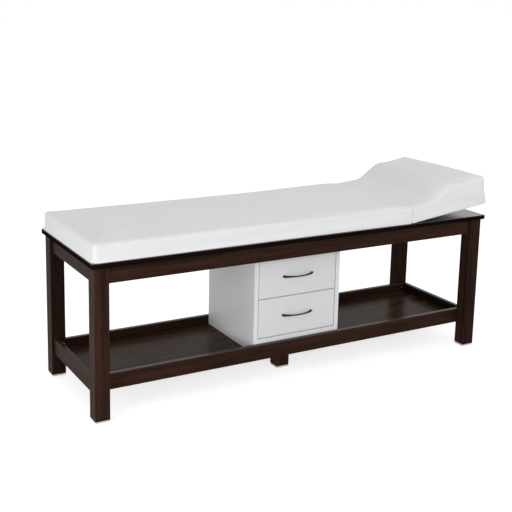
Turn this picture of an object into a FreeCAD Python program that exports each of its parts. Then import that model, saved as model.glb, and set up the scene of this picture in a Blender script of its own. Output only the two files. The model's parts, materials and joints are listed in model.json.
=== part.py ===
"""A treatment bed: hinged head section, open under-shelf and a two-drawer cabinet.

Millimetres, +Z up, +X towards the head end, -Y towards the drawers' side.
The origin is on the floor, under the middle of the whole length and width.
The head section is modelled at rest, raised a few degrees from flat.
"""
import FreeCAD
import Part
import math
import os

V = FreeCAD.Vector
along = V(1, 0, 0)
across = V(0, 1, 0)
up = V(0, 0, 1)

# Clearances and modelling allowances
running_gap = 0.3
pin_clearance = 0.05
cut_overrun = 5.0
same_place = 0.001

# Flat sides that stand for the roundness of small pieces
fastener_sides = 8
nut_sides = 6
handle_sides = 10
ball_sides = 6
ball_rings = 4

# Frame: legs, glides and top board
frame_length = 1876.0
frame_width = 572.0
board_top_height = 630.0
leg_side = 60.0
leg_bevel = 1.5
glide_height = 8.0
glide_inset = 1.5
glide_bevel = 1.0
glide_stem_radius = 3.0
glide_stem_length = 18.0
board_thickness = 19.0
board_overhang = 12.0
board_bevel = 1.5
origin_from_frame_middle = 10.0

# Aprons and cross bearers under the board
apron_thickness = 20.0
apron_height = 68.0
side_apron_recess = 12.0
end_apron_recess = 10.0
bearer_thickness = 20.0
bearer_height = 63.0
inner_bearer_inside_cabinet = 62.5
outer_bearer_from_leg = 318.0

# Corner braces and their bolts
brace_standoff = 19.8
brace_thickness = 2.5
brace_height = 50.0
brace_below_board = 6.0
brace_flange = 26.0
corner_bolt_radius = 4.0
corner_bolt_depth = 40.0
corner_bolt_tail = 7.0
corner_nut_height = 6.5
corner_nut_across_flats = 13.0
corner_washer_radius = 8.0
corner_washer_thickness = 1.6
wood_screw_radius = 2.0
wood_screw_head_radius = 4.0
wood_screw_head_height = 2.0
brace_screw_length = 14.0

# Under-shelf: tray board, rails and centre feet
tray_rail_bottom_height = 102.0
tray_rail_height = 65.0
tray_rail_thickness = 20.0
tray_rail_bevel = 1.5
tray_end_recess = 10.0
tray_board_thickness = 18.0
tray_board_above_rail_bottom = 8.0
tray_let_in = 8.0
tray_screw_length = 45.0
foot_screw_length = 50.0
centre_foot_x = -12.0
centre_foot_front_face = 122.0

# Cabinet, which fills the space from the shelf to the bearers and from rail to rail
cabinet_width = 425.0
cabinet_rail_gap = 1.0
cabinet_panel = 20.0
cabinet_top_panel = 19.5
plinth_height = 57.5
cabinet_back_panel = 6.0
cabinet_back_inset = 10.0
cabinet_groove = 8.0
cabinet_screw_length = 50.0
cabinet_screw_inset = 60.0

# Drawers
drawer_face_thickness = 18.0
drawer_face_bevel = 1.0
drawer_gap = 3.0
drawer_side_gap = 2.5
drawer_rear_room = 26.0
drawer_box_below_face_top = 35.0
drawer_box_above_face_bottom = 12.0
drawer_wall = 12.0
drawer_bottom_panel = 4.0
drawer_bottom_rise = 10.0
drawer_groove = 6.0

# Bow handles
handle_span = 160.0
handle_bow = 26.0
handle_bar_height = 9.0
handle_bar_depth = 7.0
handle_end_past_hole = 16.0
handle_post_radius = 4.0
handle_above_face_middle = 2.0
handle_screw_bite = 7.0

# Ball-bearing drawer slides, measured inwards from the cabinet's side
slide_space = 12.7
slide_behind_face = 2.0
slide_sheet = 1.2
slide_above_box_bottom = 45.0
outer_member_half_height = 17.5
outer_member_depth = 9.5
inner_member_half_height = 11.3
inner_member_from_cabinet = 4.0
ball_gap = 0.2
ball_from_cabinet = 6.7
balls_per_row = 3
cage_end_room = 68.0
cage_sheet = 0.8
cage_web_from_cabinet = 1.6
cage_flange_end = 9.0
cage_start = 130.0
slide_stop_half_height = 8.0

# Cushions and their plywood bases
seam_from_board_end = 425.0
cushion_side_inset = 3.0
cushion_foot_inset = 3.0
main_edge_height = 78.0
main_edge_crown = 1.0
main_crown = 4.0
cushion_edge_radius = 17.0
cushion_flank_bulge = 2.0
cushion_draw_in = 3.0
base_thickness = 15.0
base_inset = 12.0
base_from_hinge = 5.0
head_overhang = 24.0
head_low_height = 75.0
head_hump_rise = 49.0
head_top_rise = 5.0
head_low_crown = 3.0
head_hump_crown = 6.0
head_hump_start = 138.0
head_hump_end = 252.0
head_lift = 0.4
fold_offset = 1.4

# Angles of the head section, in degrees
rest_tilt = 7.0
raise_range = 38.0
fold_angle_margin = 1.5

# Butt hinges at the seam
hinge_barrel_radius = 3.0
hinge_pin_radius = 1.5
hinge_leaf_thickness = 1.5
hinge_leaf_length = 32.0
hinge_leaf_clearance = 0.5
hinge_width = 76.0
hinge_from_base_side = 80.0
knuckle_count = 3

# Slide stays that hold the head section up
stay_shoe_from_board_end = 55.0
stay_from_middle = 120.0
stay_arm_thickness = 4.0
stay_stud_radius = 2.5
stay_rivet_radius = 4.0
stay_rivet_height = 1.2
stay_ear_thickness = 2.0
stay_bracket_length = 22.0
stay_groove_room = 1.6
stay_groove_end_room = 12.0
track_width = 22.0
track_height = 10.0
track_sheet = 1.2
track_lip = 3.5
track_end_room = 20.0
shoe_length = 30.0

# Frame levels and outlines that follow from the sizes above
board_underside = board_top_height - board_thickness
leg_outer_x = frame_length / 2
leg_outer_y = frame_width / 2
leg_inner_x = leg_outer_x - leg_side
leg_inner_y = leg_outer_y - leg_side
leg_middle_x = leg_outer_x - leg_side / 2
leg_middle_y = leg_outer_y - leg_side / 2
board_end_x = leg_outer_x + board_overhang
board_side_y = leg_outer_y + board_overhang
apron_bottom = board_underside - apron_height
side_apron_outer_y = leg_outer_y - side_apron_recess
side_apron_inner_y = side_apron_outer_y - apron_thickness
end_apron_outer_x = leg_outer_x - end_apron_recess
end_apron_inner_x = end_apron_outer_x - apron_thickness
brace_top = board_underside - brace_below_board
brace_bottom = brace_top - brace_height
brace_middle_z = (brace_top + brace_bottom) / 2

# Under-shelf levels and outlines
tray_rail_top = tray_rail_bottom_height + tray_rail_height
tray_underside = tray_rail_bottom_height + tray_board_above_rail_bottom
tray_top = tray_underside + tray_board_thickness
tray_side_outer_y = leg_inner_y
tray_side_inner_y = tray_side_outer_y - tray_rail_thickness
tray_end_outer_x = leg_outer_x - tray_end_recess
tray_end_inner_x = tray_end_outer_x - tray_rail_thickness
centre_foot_rear_face = centre_foot_front_face - leg_side
centre_foot_middle_y = centre_foot_front_face - leg_side / 2

# Cabinet levels and outlines
cabinet_top_z = board_underside - bearer_height
cabinet_outer_x = cabinet_width / 2
cabinet_inner_x = cabinet_outer_x - cabinet_panel
cabinet_side_y = tray_side_inner_y - cabinet_rail_gap
plinth_top = tray_top + plinth_height
cabinet_lid_underside = cabinet_top_z - cabinet_top_panel
cabinet_back_rear_y = cabinet_side_y - cabinet_back_inset
cabinet_back_front_y = cabinet_back_rear_y - cabinet_back_panel
plinth_back_y = cabinet_panel - cabinet_side_y
inner_bearer_x = cabinet_outer_x - inner_bearer_inside_cabinet
outer_bearer_x = leg_inner_x - outer_bearer_from_leg

# Drawer outlines, the face's front lying flush with the cabinet's sides
drawer_face_height = (cabinet_lid_underside - plinth_top - 3 * drawer_gap) / 2
lower_face_bottom = plinth_top + drawer_gap
upper_face_bottom = lower_face_bottom + drawer_face_height + drawer_gap
face_front_y = -cabinet_side_y
face_back_y = face_front_y + drawer_face_thickness
face_half_width = cabinet_inner_x - drawer_side_gap
drawer_outer_x = cabinet_inner_x - slide_space
drawer_inner_x = drawer_outer_x - drawer_wall
drawer_box_height = drawer_face_height - drawer_box_above_face_bottom - drawer_box_below_face_top
drawer_rear_y = cabinet_back_front_y - drawer_rear_room
slide_front_y = face_back_y + slide_behind_face
slide_length = drawer_rear_y - slide_front_y
outer_member_inside = outer_member_half_height - slide_sheet
ball_radius = (outer_member_inside - inner_member_half_height) / 2 - ball_gap
ball_half_spacing = (outer_member_inside + inner_member_half_height) / 2
cage_front_y = slide_front_y + cage_start
cage_length = slide_length - cage_start - cage_end_room

# Cushion, hinge and stay places
seam_x = board_end_x - seam_from_board_end
head_length = seam_from_board_end + head_overhang
cushion_half_width = board_side_y - cushion_side_inset
cushion_width = 2 * cushion_half_width
cushion_foot_x = -board_end_x + cushion_foot_inset
base_half_width = cushion_half_width - base_inset
main_base_foot_x = cushion_foot_x + base_inset
main_base_seam_x = seam_x - base_from_hinge
hinge_above_board = hinge_barrel_radius + running_gap
hinge_leaf_gap = hinge_barrel_radius + hinge_leaf_clearance
hinge_middle_y = base_half_width - hinge_from_base_side
hinge_z = board_top_height + hinge_above_board
head_underside = head_lift - hinge_above_board
head_base_top = head_underside + base_thickness
hinge_place = V(seam_x, 0, hinge_z)
stay_arm_reach = (seam_from_board_end - stay_shoe_from_board_end) / 2
stay_arm_radius = hinge_above_board + track_sheet
stay_groove_depth = stay_arm_radius - head_underside + stay_groove_room
bracket_place = hinge_place + V(stay_arm_reach, 0, 0)
shoe_reach = 2 * stay_arm_reach * math.cos(math.radians(rest_tilt))
shoe_place = hinge_place + V(shoe_reach, 0, 0)
flat_shoe_x = seam_x + 2 * stay_arm_reach
raised_shoe_share = math.cos(math.radians(rest_tilt + raise_range))
raised_shoe_x = seam_x + 2 * stay_arm_reach * raised_shoe_share
track_head_x = flat_shoe_x + shoe_length / 2 + track_end_room / 2
track_foot_x = raised_shoe_x - shoe_length / 2 - track_end_room / 2
track_floor_z = board_top_height - track_height
stay_ear_y = stay_arm_thickness / 2 + running_gap


def block(x0, x1, y0, y1, z0, z1):
    """A box between two values on each axis."""
    return Part.makeBox(x1 - x0, y1 - y0, z1 - z0, V(x0, y0, z0))


def rod(start, direction, radius, length):
    """A cylinder that starts at a point and runs along a direction."""
    return Part.makeCylinder(radius, length, start, direction)


def prism(corners, direction):
    """A flat outline, given by its corners, drawn out along a direction."""
    return Part.Face(Part.makePolygon(corners + corners[:1])).extrude(direction)


def ring(middle, axis, radius, sides):
    """The corners of a regular outline round one of the three directions."""
    first = V(axis.y, axis.z, axis.x) * radius
    second = axis.cross(first)
    turns = [2 * math.pi * number / sides for number in range(sides)]
    return [middle + first * math.cos(turn) + second * math.sin(turn) for turn in turns]


def flat_rod(start, direction, radius, length, sides=fastener_sides):
    """A rod with flat sides, for small fasteners and the holes they fill."""
    return prism(ring(start, direction, radius, sides), direction * length)


def union(first, *others):
    """One solid from pieces that touch or overlap."""
    return first.multiFuse(list(others)).removeSplitter()


def is_along(edge, direction):
    """Whether a straight edge runs along a direction."""
    run = edge.Vertexes[-1].Point - edge.Vertexes[0].Point
    return run.Length > same_place and run.cross(direction).Length < same_place


def bevelled(shape, size, chosen):
    """The shape with the chosen edges bevelled."""
    return shape.makeChamfer(size, [edge for edge in shape.Edges if chosen(edge)])


def at_level(edge, value, axis):
    """Whether both ends of an edge lie at one value on an axis."""
    return all(abs(vertex.Point.dot(axis) - value) < same_place for vertex in edge.Vertexes)


def mirrored(shape, axis):
    """The shape's mirror image across the middle plane that the axis crosses."""
    return shape.mirror(V(0, 0, 0), axis)


def placed(shape, end, side):
    """A piece built for the head end's rear corner, moved to another corner by mirroring."""
    if end == "foot":
        shape = mirrored(shape, along)
    if side == "front":
        shape = mirrored(shape, across)
    return shape


def both_ends(shape):
    """The piece and its mirror image at the other end."""
    return Part.makeCompound([shape, mirrored(shape, along)])


def both_sides(shape):
    """The piece and its mirror image on the other long side."""
    return Part.makeCompound([shape, mirrored(shape, across)])


def all_corners(shape):
    """The piece at all four corners."""
    return Part.makeCompound([placed(shape, end, side) for end, side in corners])


corners = [(end, side) for end in ("foot", "head") for side in ("front", "rear")]


def wood_screw(seat, direction, length):
    """A pan-head screw whose head sits on a surface point and whose shank runs in."""
    head_start = seat - direction * wood_screw_head_height
    head = flat_rod(head_start, direction, wood_screw_head_radius, wood_screw_head_height)
    return union(head, flat_rod(seat, direction, wood_screw_radius, length))


# Legs and glides

def glide_stem(x, y):
    """The stem that a glide drives up into its leg."""
    return flat_rod(V(x, y, glide_height), up, glide_stem_radius, glide_stem_length)


def glide(x, y):
    """A square plastic pad with a bevelled foot and its stem."""
    half = leg_side / 2 - glide_inset
    pad = block(x - half, x + half, y - half, y + half, 0, glide_height)
    pad = bevelled(pad, glide_bevel, lambda edge: at_level(edge, 0, up))
    return union(pad, glide_stem(x, y))


def glides():
    """The six pads: four legs and two centre feet."""
    leg_glides = all_corners(glide(leg_middle_x, leg_middle_y))
    foot_glides = both_sides(glide(centre_foot_x, centre_foot_middle_y))
    return Part.makeCompound(leg_glides.Solids + foot_glides.Solids)


def leg():
    """The head end's rear leg, bevelled and drilled for its stem, bolt and tray screw."""
    post = block(leg_inner_x, leg_outer_x, leg_inner_y, leg_outer_y, glide_height, board_underside)
    post = bevelled(post, leg_bevel, lambda edge: is_along(edge, up))
    return post.cut([glide_stem(leg_middle_x, leg_middle_y), corner_bolt(), rail_screw()])


# Aprons, braces and bearers

def brace_outline_sum():
    """x + y along the brace's face that looks at the leg's inner corner."""
    return leg_inner_x + leg_inner_y - brace_standoff * math.sqrt(2)


def corner_brace():
    """A steel strip across the corner, bent to lie along both aprons."""
    line = brace_outline_sum()
    inner_line = line - brace_thickness * math.sqrt(2)
    side_x = line - side_apron_inner_y
    end_y = line - end_apron_inner_x
    side_face = side_apron_inner_y - brace_thickness
    end_face = end_apron_inner_x - brace_thickness
    outline = [
        V(side_x - brace_flange, side_apron_inner_y, brace_bottom),
        V(side_x, side_apron_inner_y, brace_bottom),
        V(end_apron_inner_x, end_y, brace_bottom),
        V(end_apron_inner_x, end_y - brace_flange, brace_bottom),
        V(end_face, end_y - brace_flange, brace_bottom),
        V(end_face, inner_line - end_face, brace_bottom),
        V(inner_line - side_face, side_face, brace_bottom),
        V(side_x - brace_flange, side_face, brace_bottom),
    ]
    strip = prism(outline, up * brace_height)
    return strip.cut([corner_bolt(), side_brace_screw(), end_brace_screw()])


def side_brace_screw():
    """The screw through the brace's flange into the side apron."""
    x = brace_outline_sum() - side_apron_inner_y - brace_flange / 2
    seat = V(x, side_apron_inner_y - brace_thickness, brace_middle_z)
    return wood_screw(seat, across, brace_screw_length)


def end_brace_screw():
    """The screw through the brace's flange into the end apron."""
    y = brace_outline_sum() - end_apron_inner_x - brace_flange / 2
    seat = V(end_apron_inner_x - brace_thickness, y, brace_middle_z)
    return wood_screw(seat, along, brace_screw_length)


def corner_bolt():
    """Hanger bolt on the diagonal, with its washer and nut drawn up on the brace."""
    seat = brace_standoff + brace_thickness
    stack = seat + corner_washer_thickness + corner_nut_height
    shank = flat_rod(V(0, 0, -stack - corner_bolt_tail), up, corner_bolt_radius,
                     stack + corner_bolt_tail + corner_bolt_depth)
    washer = flat_rod(V(0, 0, -seat - corner_washer_thickness), up, corner_washer_radius,
                      corner_washer_thickness)
    nut_radius = corner_nut_across_flats / 2 / math.cos(math.pi / nut_sides)
    nut = flat_rod(V(0, 0, -stack), up, nut_radius, corner_nut_height, nut_sides)
    bolt = union(shank, washer, nut)
    bolt.rotate(V(0, 0, 0), across, 90)
    bolt.rotate(V(0, 0, 0), up, 45)
    bolt.translate(V(leg_inner_x, leg_inner_y, brace_middle_z))
    return bolt


def corner_bolts():
    """Bolts and flange screws of the four corners."""
    pieces = [corner_bolt(), side_brace_screw(), end_brace_screw()]
    return Part.makeCompound([placed(piece, *corner) for corner in corners for piece in pieces])


def side_apron():
    """The rear apron, between the legs."""
    rail = block(-leg_inner_x, leg_inner_x, side_apron_inner_y, side_apron_outer_y,
                 apron_bottom, board_underside)
    return rail.cut([side_brace_screw(), mirrored(side_brace_screw(), along)])


def end_apron():
    """The head end's apron, between the legs."""
    rail = block(end_apron_inner_x, end_apron_outer_x, -leg_inner_y, leg_inner_y,
                 apron_bottom, board_underside)
    return rail.cut([end_brace_screw(), mirrored(end_brace_screw(), across)])


def cross_bearers():
    """Four bearers between the side aprons, level with the cabinet's top underneath."""
    bearers = []
    for middle in (inner_bearer_x, outer_bearer_x):
        bearer = block(middle - bearer_thickness / 2, middle + bearer_thickness / 2,
                       -side_apron_inner_y, side_apron_inner_y, cabinet_top_z, board_underside)
        bearers += [bearer, mirrored(bearer, along)]
    return Part.makeCompound(bearers)


def top_board():
    """The board that carries the cushions, grooved for the stays' tracks."""
    board = block(-board_end_x, board_end_x, -board_side_y, board_side_y,
                  board_underside, board_top_height)
    board = bevelled(board, board_bevel,
                     lambda edge: at_level(edge, board_top_height, up) or is_along(edge, up))
    groove_foot_x = bracket_place.x - stay_groove_end_room
    groove = block(groove_foot_x, track_head_x,
                   stay_from_middle - track_width / 2, stay_from_middle + track_width / 2,
                   track_floor_z, board_top_height + cut_overrun)
    return board.cut([groove, mirrored(groove, across)])


# Under-shelf

def tray_board():
    """The shelf board, let into grooves in all four rails."""
    end_x = tray_end_inner_x + tray_let_in
    side_y = tray_side_inner_y + tray_let_in
    board = block(-end_x, end_x, -side_y, side_y, tray_underside, tray_top)
    return board.cut(foot_screws().Solids + cabinet_screws().Solids)


def tray_side_rail():
    """The rear rail: against the legs' inner faces, grooved for the board."""
    rail = block(-tray_end_inner_x, tray_end_inner_x, tray_side_inner_y, tray_side_outer_y,
                 tray_rail_bottom_height, tray_rail_top)
    rail = bevelled(rail, tray_rail_bevel,
                    lambda edge: at_level(edge, tray_rail_top, up) and is_along(edge, along))
    groove = block(-tray_end_inner_x, tray_end_inner_x, tray_side_inner_y,
                   tray_side_inner_y + tray_let_in, tray_underside, tray_top)
    return rail.cut([groove, rail_screw(), mirrored(rail_screw(), along)])


def tray_end_rail():
    """The head end's rail, between the front and rear legs."""
    rail = block(tray_end_inner_x, tray_end_outer_x, -leg_inner_y, leg_inner_y,
                 tray_rail_bottom_height, tray_rail_top)
    rail = bevelled(rail, tray_rail_bevel,
                    lambda edge: at_level(edge, tray_rail_top, up) and is_along(edge, across))
    groove_side = tray_side_inner_y + tray_let_in
    groove = block(tray_end_inner_x, tray_end_inner_x + tray_let_in, -groove_side, groove_side,
                   tray_underside, tray_top)
    return rail.cut(groove)


def rail_screw():
    """The screw through the rear rail's end into the head end's rear leg."""
    x = (leg_inner_x + tray_end_inner_x) / 2
    z = (tray_top + tray_rail_top) / 2
    return wood_screw(V(x, tray_side_inner_y, z), across, tray_screw_length)


def foot_screws():
    """Screws down through the shelf board into the two centre feet, their heads let in."""
    seat = V(centre_foot_x, centre_foot_middle_y, tray_top - wood_screw_head_height)
    return both_sides(wood_screw(seat, -up, foot_screw_length))


def tray_screws():
    """All the screws that hold the under-shelf."""
    return Part.makeCompound(all_corners(rail_screw()).Solids + foot_screws().Solids)


def centre_foot():
    """The rear centre foot, a short piece of the legs' section under the shelf board."""
    foot = block(centre_foot_x - leg_side / 2, centre_foot_x + leg_side / 2,
                 centre_foot_rear_face, centre_foot_front_face, glide_height, tray_underside)
    foot = bevelled(foot, leg_bevel, lambda edge: is_along(edge, up))
    return foot.cut([glide_stem(centre_foot_x, centre_foot_middle_y)] + foot_screws().Solids)


# Cabinet

def cabinet_side():
    """The head-side panel, grooved for the back panel."""
    panel = block(cabinet_inner_x, cabinet_outer_x, -cabinet_side_y, cabinet_side_y,
                  tray_top, cabinet_top_z)
    return panel.cut([cabinet_back()] + cabinet_screws().Solids)


def cabinet_top():
    """The cabinet's lid, between the sides."""
    panel = block(-cabinet_inner_x, cabinet_inner_x, -cabinet_side_y, cabinet_side_y,
                  cabinet_lid_underside, cabinet_top_z)
    return panel.cut(cabinet_back())


def cabinet_bottom():
    """The cabinet's floor, behind the front plinth strip."""
    panel = block(-cabinet_inner_x, cabinet_inner_x, plinth_back_y, cabinet_side_y,
                  plinth_top - cabinet_panel, plinth_top)
    return panel.cut(cabinet_back())


def cabinet_back():
    """The thin back panel, let into the sides, the lid and the floor."""
    half = cabinet_inner_x + cabinet_groove
    return block(-half, half, cabinet_back_front_y, cabinet_back_rear_y,
                 plinth_top - cabinet_groove, cabinet_lid_underside + cabinet_groove)


def cabinet_plinth():
    """The strip under the lower drawer, and the one under the floor's rear edge."""
    front = block(-cabinet_inner_x, cabinet_inner_x, -cabinet_side_y, plinth_back_y,
                  tray_top, plinth_top)
    rear = block(-cabinet_inner_x, cabinet_inner_x, -plinth_back_y, cabinet_side_y,
                 tray_top, plinth_top - cabinet_panel)
    return Part.makeCompound([front, rear])


def cabinet_screws():
    """Four screws up through the shelf board into the cabinet's sides."""
    x = (cabinet_inner_x + cabinet_outer_x) / 2
    seat = V(x, cabinet_side_y - cabinet_screw_inset, tray_underside)
    return all_corners(wood_screw(seat, up, cabinet_screw_length))


# Drawer slides

def slide_channel(cabinet_side, drawer_side, half_height, sheet, web_on_cabinet, z, front, length):
    """A channel along the drawer's travel, given by its distances from the cabinet's side."""
    high = cabinet_inner_x - cabinet_side
    low = cabinet_inner_x - drawer_side
    outside = block(low, high, front, front + length, z - half_height, z + half_height)
    if web_on_cabinet:
        low, high = low - cut_overrun, high - sheet
    else:
        low, high = low + sheet, high + cut_overrun
    inside = block(low, high, front - cut_overrun, front + length + cut_overrun,
                   z - half_height + sheet, z + half_height - sheet)
    return outside.cut(inside)


def slide_outer(z):
    """Cabinet member with its rear stop tab."""
    channel = slide_channel(0, outer_member_depth, outer_member_half_height, slide_sheet, True,
                            z, slide_front_y, slide_length + running_gap + slide_sheet)
    stop = block(cabinet_inner_x - outer_member_depth, cabinet_inner_x - slide_sheet,
                 drawer_rear_y + running_gap, drawer_rear_y + running_gap + slide_sheet,
                 z - slide_stop_half_height, z + slide_stop_half_height)
    return union(channel, stop)


def slide_inner(z):
    """Drawer member."""
    return slide_channel(inner_member_from_cabinet, slide_space, inner_member_half_height,
                         slide_sheet, False, z, slide_front_y, slide_length)


def ball(place):
    """One ball, drawn with flat facets."""
    rings = []
    for number in range(ball_rings):
        turn = math.pi * (number + 1 / 2) / ball_rings
        middle = place - up * ball_radius * math.cos(turn)
        outline = ring(middle, up, ball_radius * math.sin(turn), ball_sides)
        rings.append(Part.makePolygon(outline + outline[:1]))
    return Part.makeLoft(rings, True, True)


def ball_cage(z):
    """The strip between the members, with its two rows of balls."""
    half_height = ball_half_spacing + cage_sheet / 2
    strip = slide_channel(cage_web_from_cabinet, cage_flange_end, half_height, cage_sheet, True,
                          z, cage_front_y, cage_length)
    balls = []
    for number in range(balls_per_row):
        y = cage_front_y + cage_length * (number + 1 / 2) / balls_per_row
        for offset in (-ball_half_spacing, ball_half_spacing):
            place = V(cabinet_inner_x - ball_from_cabinet, y, z + offset)
            balls.append(ball(place))
    return union(strip, *balls)


# Drawers

def drawer_levels(face_bottom):
    """The box's bottom edge, its top edge and its slides' middle, above one face's bottom."""
    box_bottom = face_bottom + drawer_box_above_face_bottom
    return box_bottom, box_bottom + drawer_box_height, box_bottom + slide_above_box_bottom


def drawer_bottom(face_bottom):
    """The thin floor, let into the face and the sides, and running on under the back."""
    box_bottom = drawer_levels(face_bottom)[0]
    half = drawer_inner_x + drawer_groove
    z = box_bottom + drawer_bottom_rise
    return block(-half, half, face_back_y - drawer_groove, drawer_rear_y,
                 z, z + drawer_bottom_panel)


def drawer_face(face_bottom):
    """The front panel, bevelled, grooved for the floor and drilled for the handle."""
    panel = block(-face_half_width, face_half_width, face_front_y, face_back_y,
                  face_bottom, face_bottom + drawer_face_height)
    panel = bevelled(panel, drawer_face_bevel, lambda edge: at_level(edge, face_front_y, across))
    return panel.cut([drawer_bottom(face_bottom)] + handle_screws(face_bottom).Solids)


def drawer_side(face_bottom):
    """The head-side wall of the box."""
    box_bottom, box_top, _ = drawer_levels(face_bottom)
    wall = block(drawer_inner_x, drawer_outer_x, face_back_y, drawer_rear_y, box_bottom, box_top)
    return wall.cut(drawer_bottom(face_bottom))


def drawer_back(face_bottom):
    """The rear wall of the box, standing on the floor."""
    box_bottom, box_top, _ = drawer_levels(face_bottom)
    floor_top = box_bottom + drawer_bottom_rise + drawer_bottom_panel
    return block(-drawer_inner_x, drawer_inner_x, drawer_rear_y - drawer_wall, drawer_rear_y,
                 floor_top, box_top)


def handle_height(face_bottom):
    """The handle's middle, a little over the face's middle."""
    return face_bottom + drawer_face_height / 2 + handle_above_face_middle


def handle(face_bottom):
    """A bow of flat oval bar with a post over each screw hole."""
    z = handle_height(face_bottom)
    half = handle_span / 2
    radius = (half * half + handle_bow * handle_bow) / 2 / handle_bow
    middle = V(0, face_front_y - handle_bow + radius, z)
    bar_middle = middle - across * (radius - handle_bar_depth / 2)
    oval = [bar_middle + V(0, corner.y * handle_bar_depth, corner.z * handle_bar_height)
            for corner in ring(V(0, 0, 0), along, 1 / 2, handle_sides)]
    section = Part.Face(Part.makePolygon(oval + oval[:1]))
    half_angle = math.degrees(math.asin(half / radius))
    bow = section.revolve(middle, up, half_angle)
    bow = union(bow, mirrored(bow, along))
    bow = bow.cut(block(-handle_span, handle_span, face_front_y, face_front_y + radius,
                        z - handle_bar_height, z + handle_bar_height))
    post_x = half - handle_end_past_hole
    rise = math.sqrt(radius * radius - post_x * post_x) - (radius - handle_bow)
    post = flat_rod(V(post_x, face_front_y, z), -across, handle_post_radius,
                    rise - handle_bar_depth / 2, handle_sides)
    bow = union(bow, post, mirrored(post, along))
    return bow.cut(handle_screws(face_bottom).Solids)


def handle_screws(face_bottom):
    """Two screws from inside the drawer, through the face into the handle's posts."""
    seat = V(handle_span / 2 - handle_end_past_hole, face_back_y, handle_height(face_bottom))
    return both_ends(wood_screw(seat, -across, drawer_face_thickness + handle_screw_bite))


def drawer(name, face_bottom):
    """Every piece of one drawer and its slides, by node name."""
    slide_z = drawer_levels(face_bottom)[2]
    side = drawer_side(face_bottom)
    return {
        name + "_drawer_face": drawer_face(face_bottom),
        name + "_drawer_side_head": side,
        name + "_drawer_side_foot": mirrored(side, along),
        name + "_drawer_back": drawer_back(face_bottom),
        name + "_drawer_bottom": drawer_bottom(face_bottom),
        name + "_handle": handle(face_bottom),
        name + "_handle_screws": handle_screws(face_bottom),
        name + "_slide_inners": both_ends(slide_inner(slide_z)),
        name + "_slide_outers": both_ends(slide_outer(slide_z)),
        name + "_ball_cages": both_ends(ball_cage(slide_z)),
    }


# Cushions

def cushion_section(x, half_width, bottom, edge_top, crown, radius, bulge):
    """The closed outline across a cushion: flat floor, full flanks, rounded edges, crown."""
    corner = radius * (1 - math.sqrt(1 / 2))
    flank_top = edge_top - radius
    flank_middle = (bottom + flank_top) / 2
    top_half = half_width - radius
    middle_top = V(x, 0, edge_top + crown)

    def at(side, y, z):
        return V(x, side * y, z)

    def flank(side):
        return Part.Arc(at(side, half_width, bottom), at(side, half_width + bulge, flank_middle),
                        at(side, half_width, flank_top))

    def edge(side):
        return Part.Arc(at(side, half_width, flank_top),
                        at(side, half_width - corner, edge_top - corner),
                        at(side, top_half, edge_top))

    floor = Part.LineSegment(at(-1, half_width, bottom), at(1, half_width, bottom))
    top = Part.Arc(at(1, top_half, edge_top), middle_top, at(-1, top_half, edge_top))
    pieces = [floor, flank(1), edge(1), top, edge(-1), flank(-1)]
    return Part.Wire(Part.__sortEdges__([piece.toShape() for piece in pieces]))


def rounded_inset(distance, radius):
    """How far a rounded end draws in, at a distance from its tip."""
    if distance >= radius:
        return 0
    return radius - math.sqrt(radius * radius - (radius - distance) ** 2)


# Places on a rounded end, as shares of its radius from the tip
end_step_shares = [0.02, 0.12, 0.3, 0.6, 1.0]


def main_cushion():
    """The long cushion: crowned, full-flanked, drawn in between its corners."""
    length = seam_x - cushion_foot_x
    stations = [cushion_foot_x + cushion_edge_radius * share for share in end_step_shares]
    stations += [cushion_foot_x + length * share for share in (0.12, 0.3, 0.5, 0.7, 0.88)]
    stations += [seam_x - cushion_edge_radius * share
                 for share in reversed(end_step_shares)]
    sections = []
    for x in stations:
        from_end = min(x - cushion_foot_x, seam_x - x)
        inset = rounded_inset(from_end + cushion_edge_radius * end_step_shares[0],
                              cushion_edge_radius)
        fullness = math.sin(math.pi * (x - cushion_foot_x) / length)
        half_width = cushion_half_width - cushion_draw_in * fullness - inset
        edge_top = board_top_height + main_edge_height - inset
        radius = cushion_edge_radius - inset * (1 - end_step_shares[1])
        sections.append(cushion_section(x, half_width, board_top_height, edge_top,
                                        main_edge_crown + main_crown * fullness ** (1 / 2),
                                        radius, cushion_flank_bulge))
    body = Part.makeLoft(sections, True, True)
    pocket = block(main_base_foot_x, seam_x + cut_overrun,
                   -base_half_width, base_half_width,
                   board_top_height - cut_overrun, board_top_height + base_thickness)
    return body.cut(pocket)


def main_base():
    """The main cushion's plywood, housed for the hinges' fixed leaves."""
    panel = block(main_base_foot_x, main_base_seam_x, -base_half_width, base_half_width,
                  board_top_height, board_top_height + base_thickness)
    return panel.cut(hinge_leaves_fixed().Solids)


def head_rise(u):
    """How far the head cushion's top stands over its low part, at a distance from the hinge."""
    share = (u - head_hump_start) / (head_hump_end - head_hump_start)
    share = min(max(share, 0), 1)
    slow_share = (u - head_hump_end) / (head_length - head_hump_end)
    slow_share = min(max(slow_share, 0), 1)
    hump = head_hump_rise * share * share * (3 - 2 * share)
    return hump + head_top_rise * math.sin(slow_share * math.pi / 2), share


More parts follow.
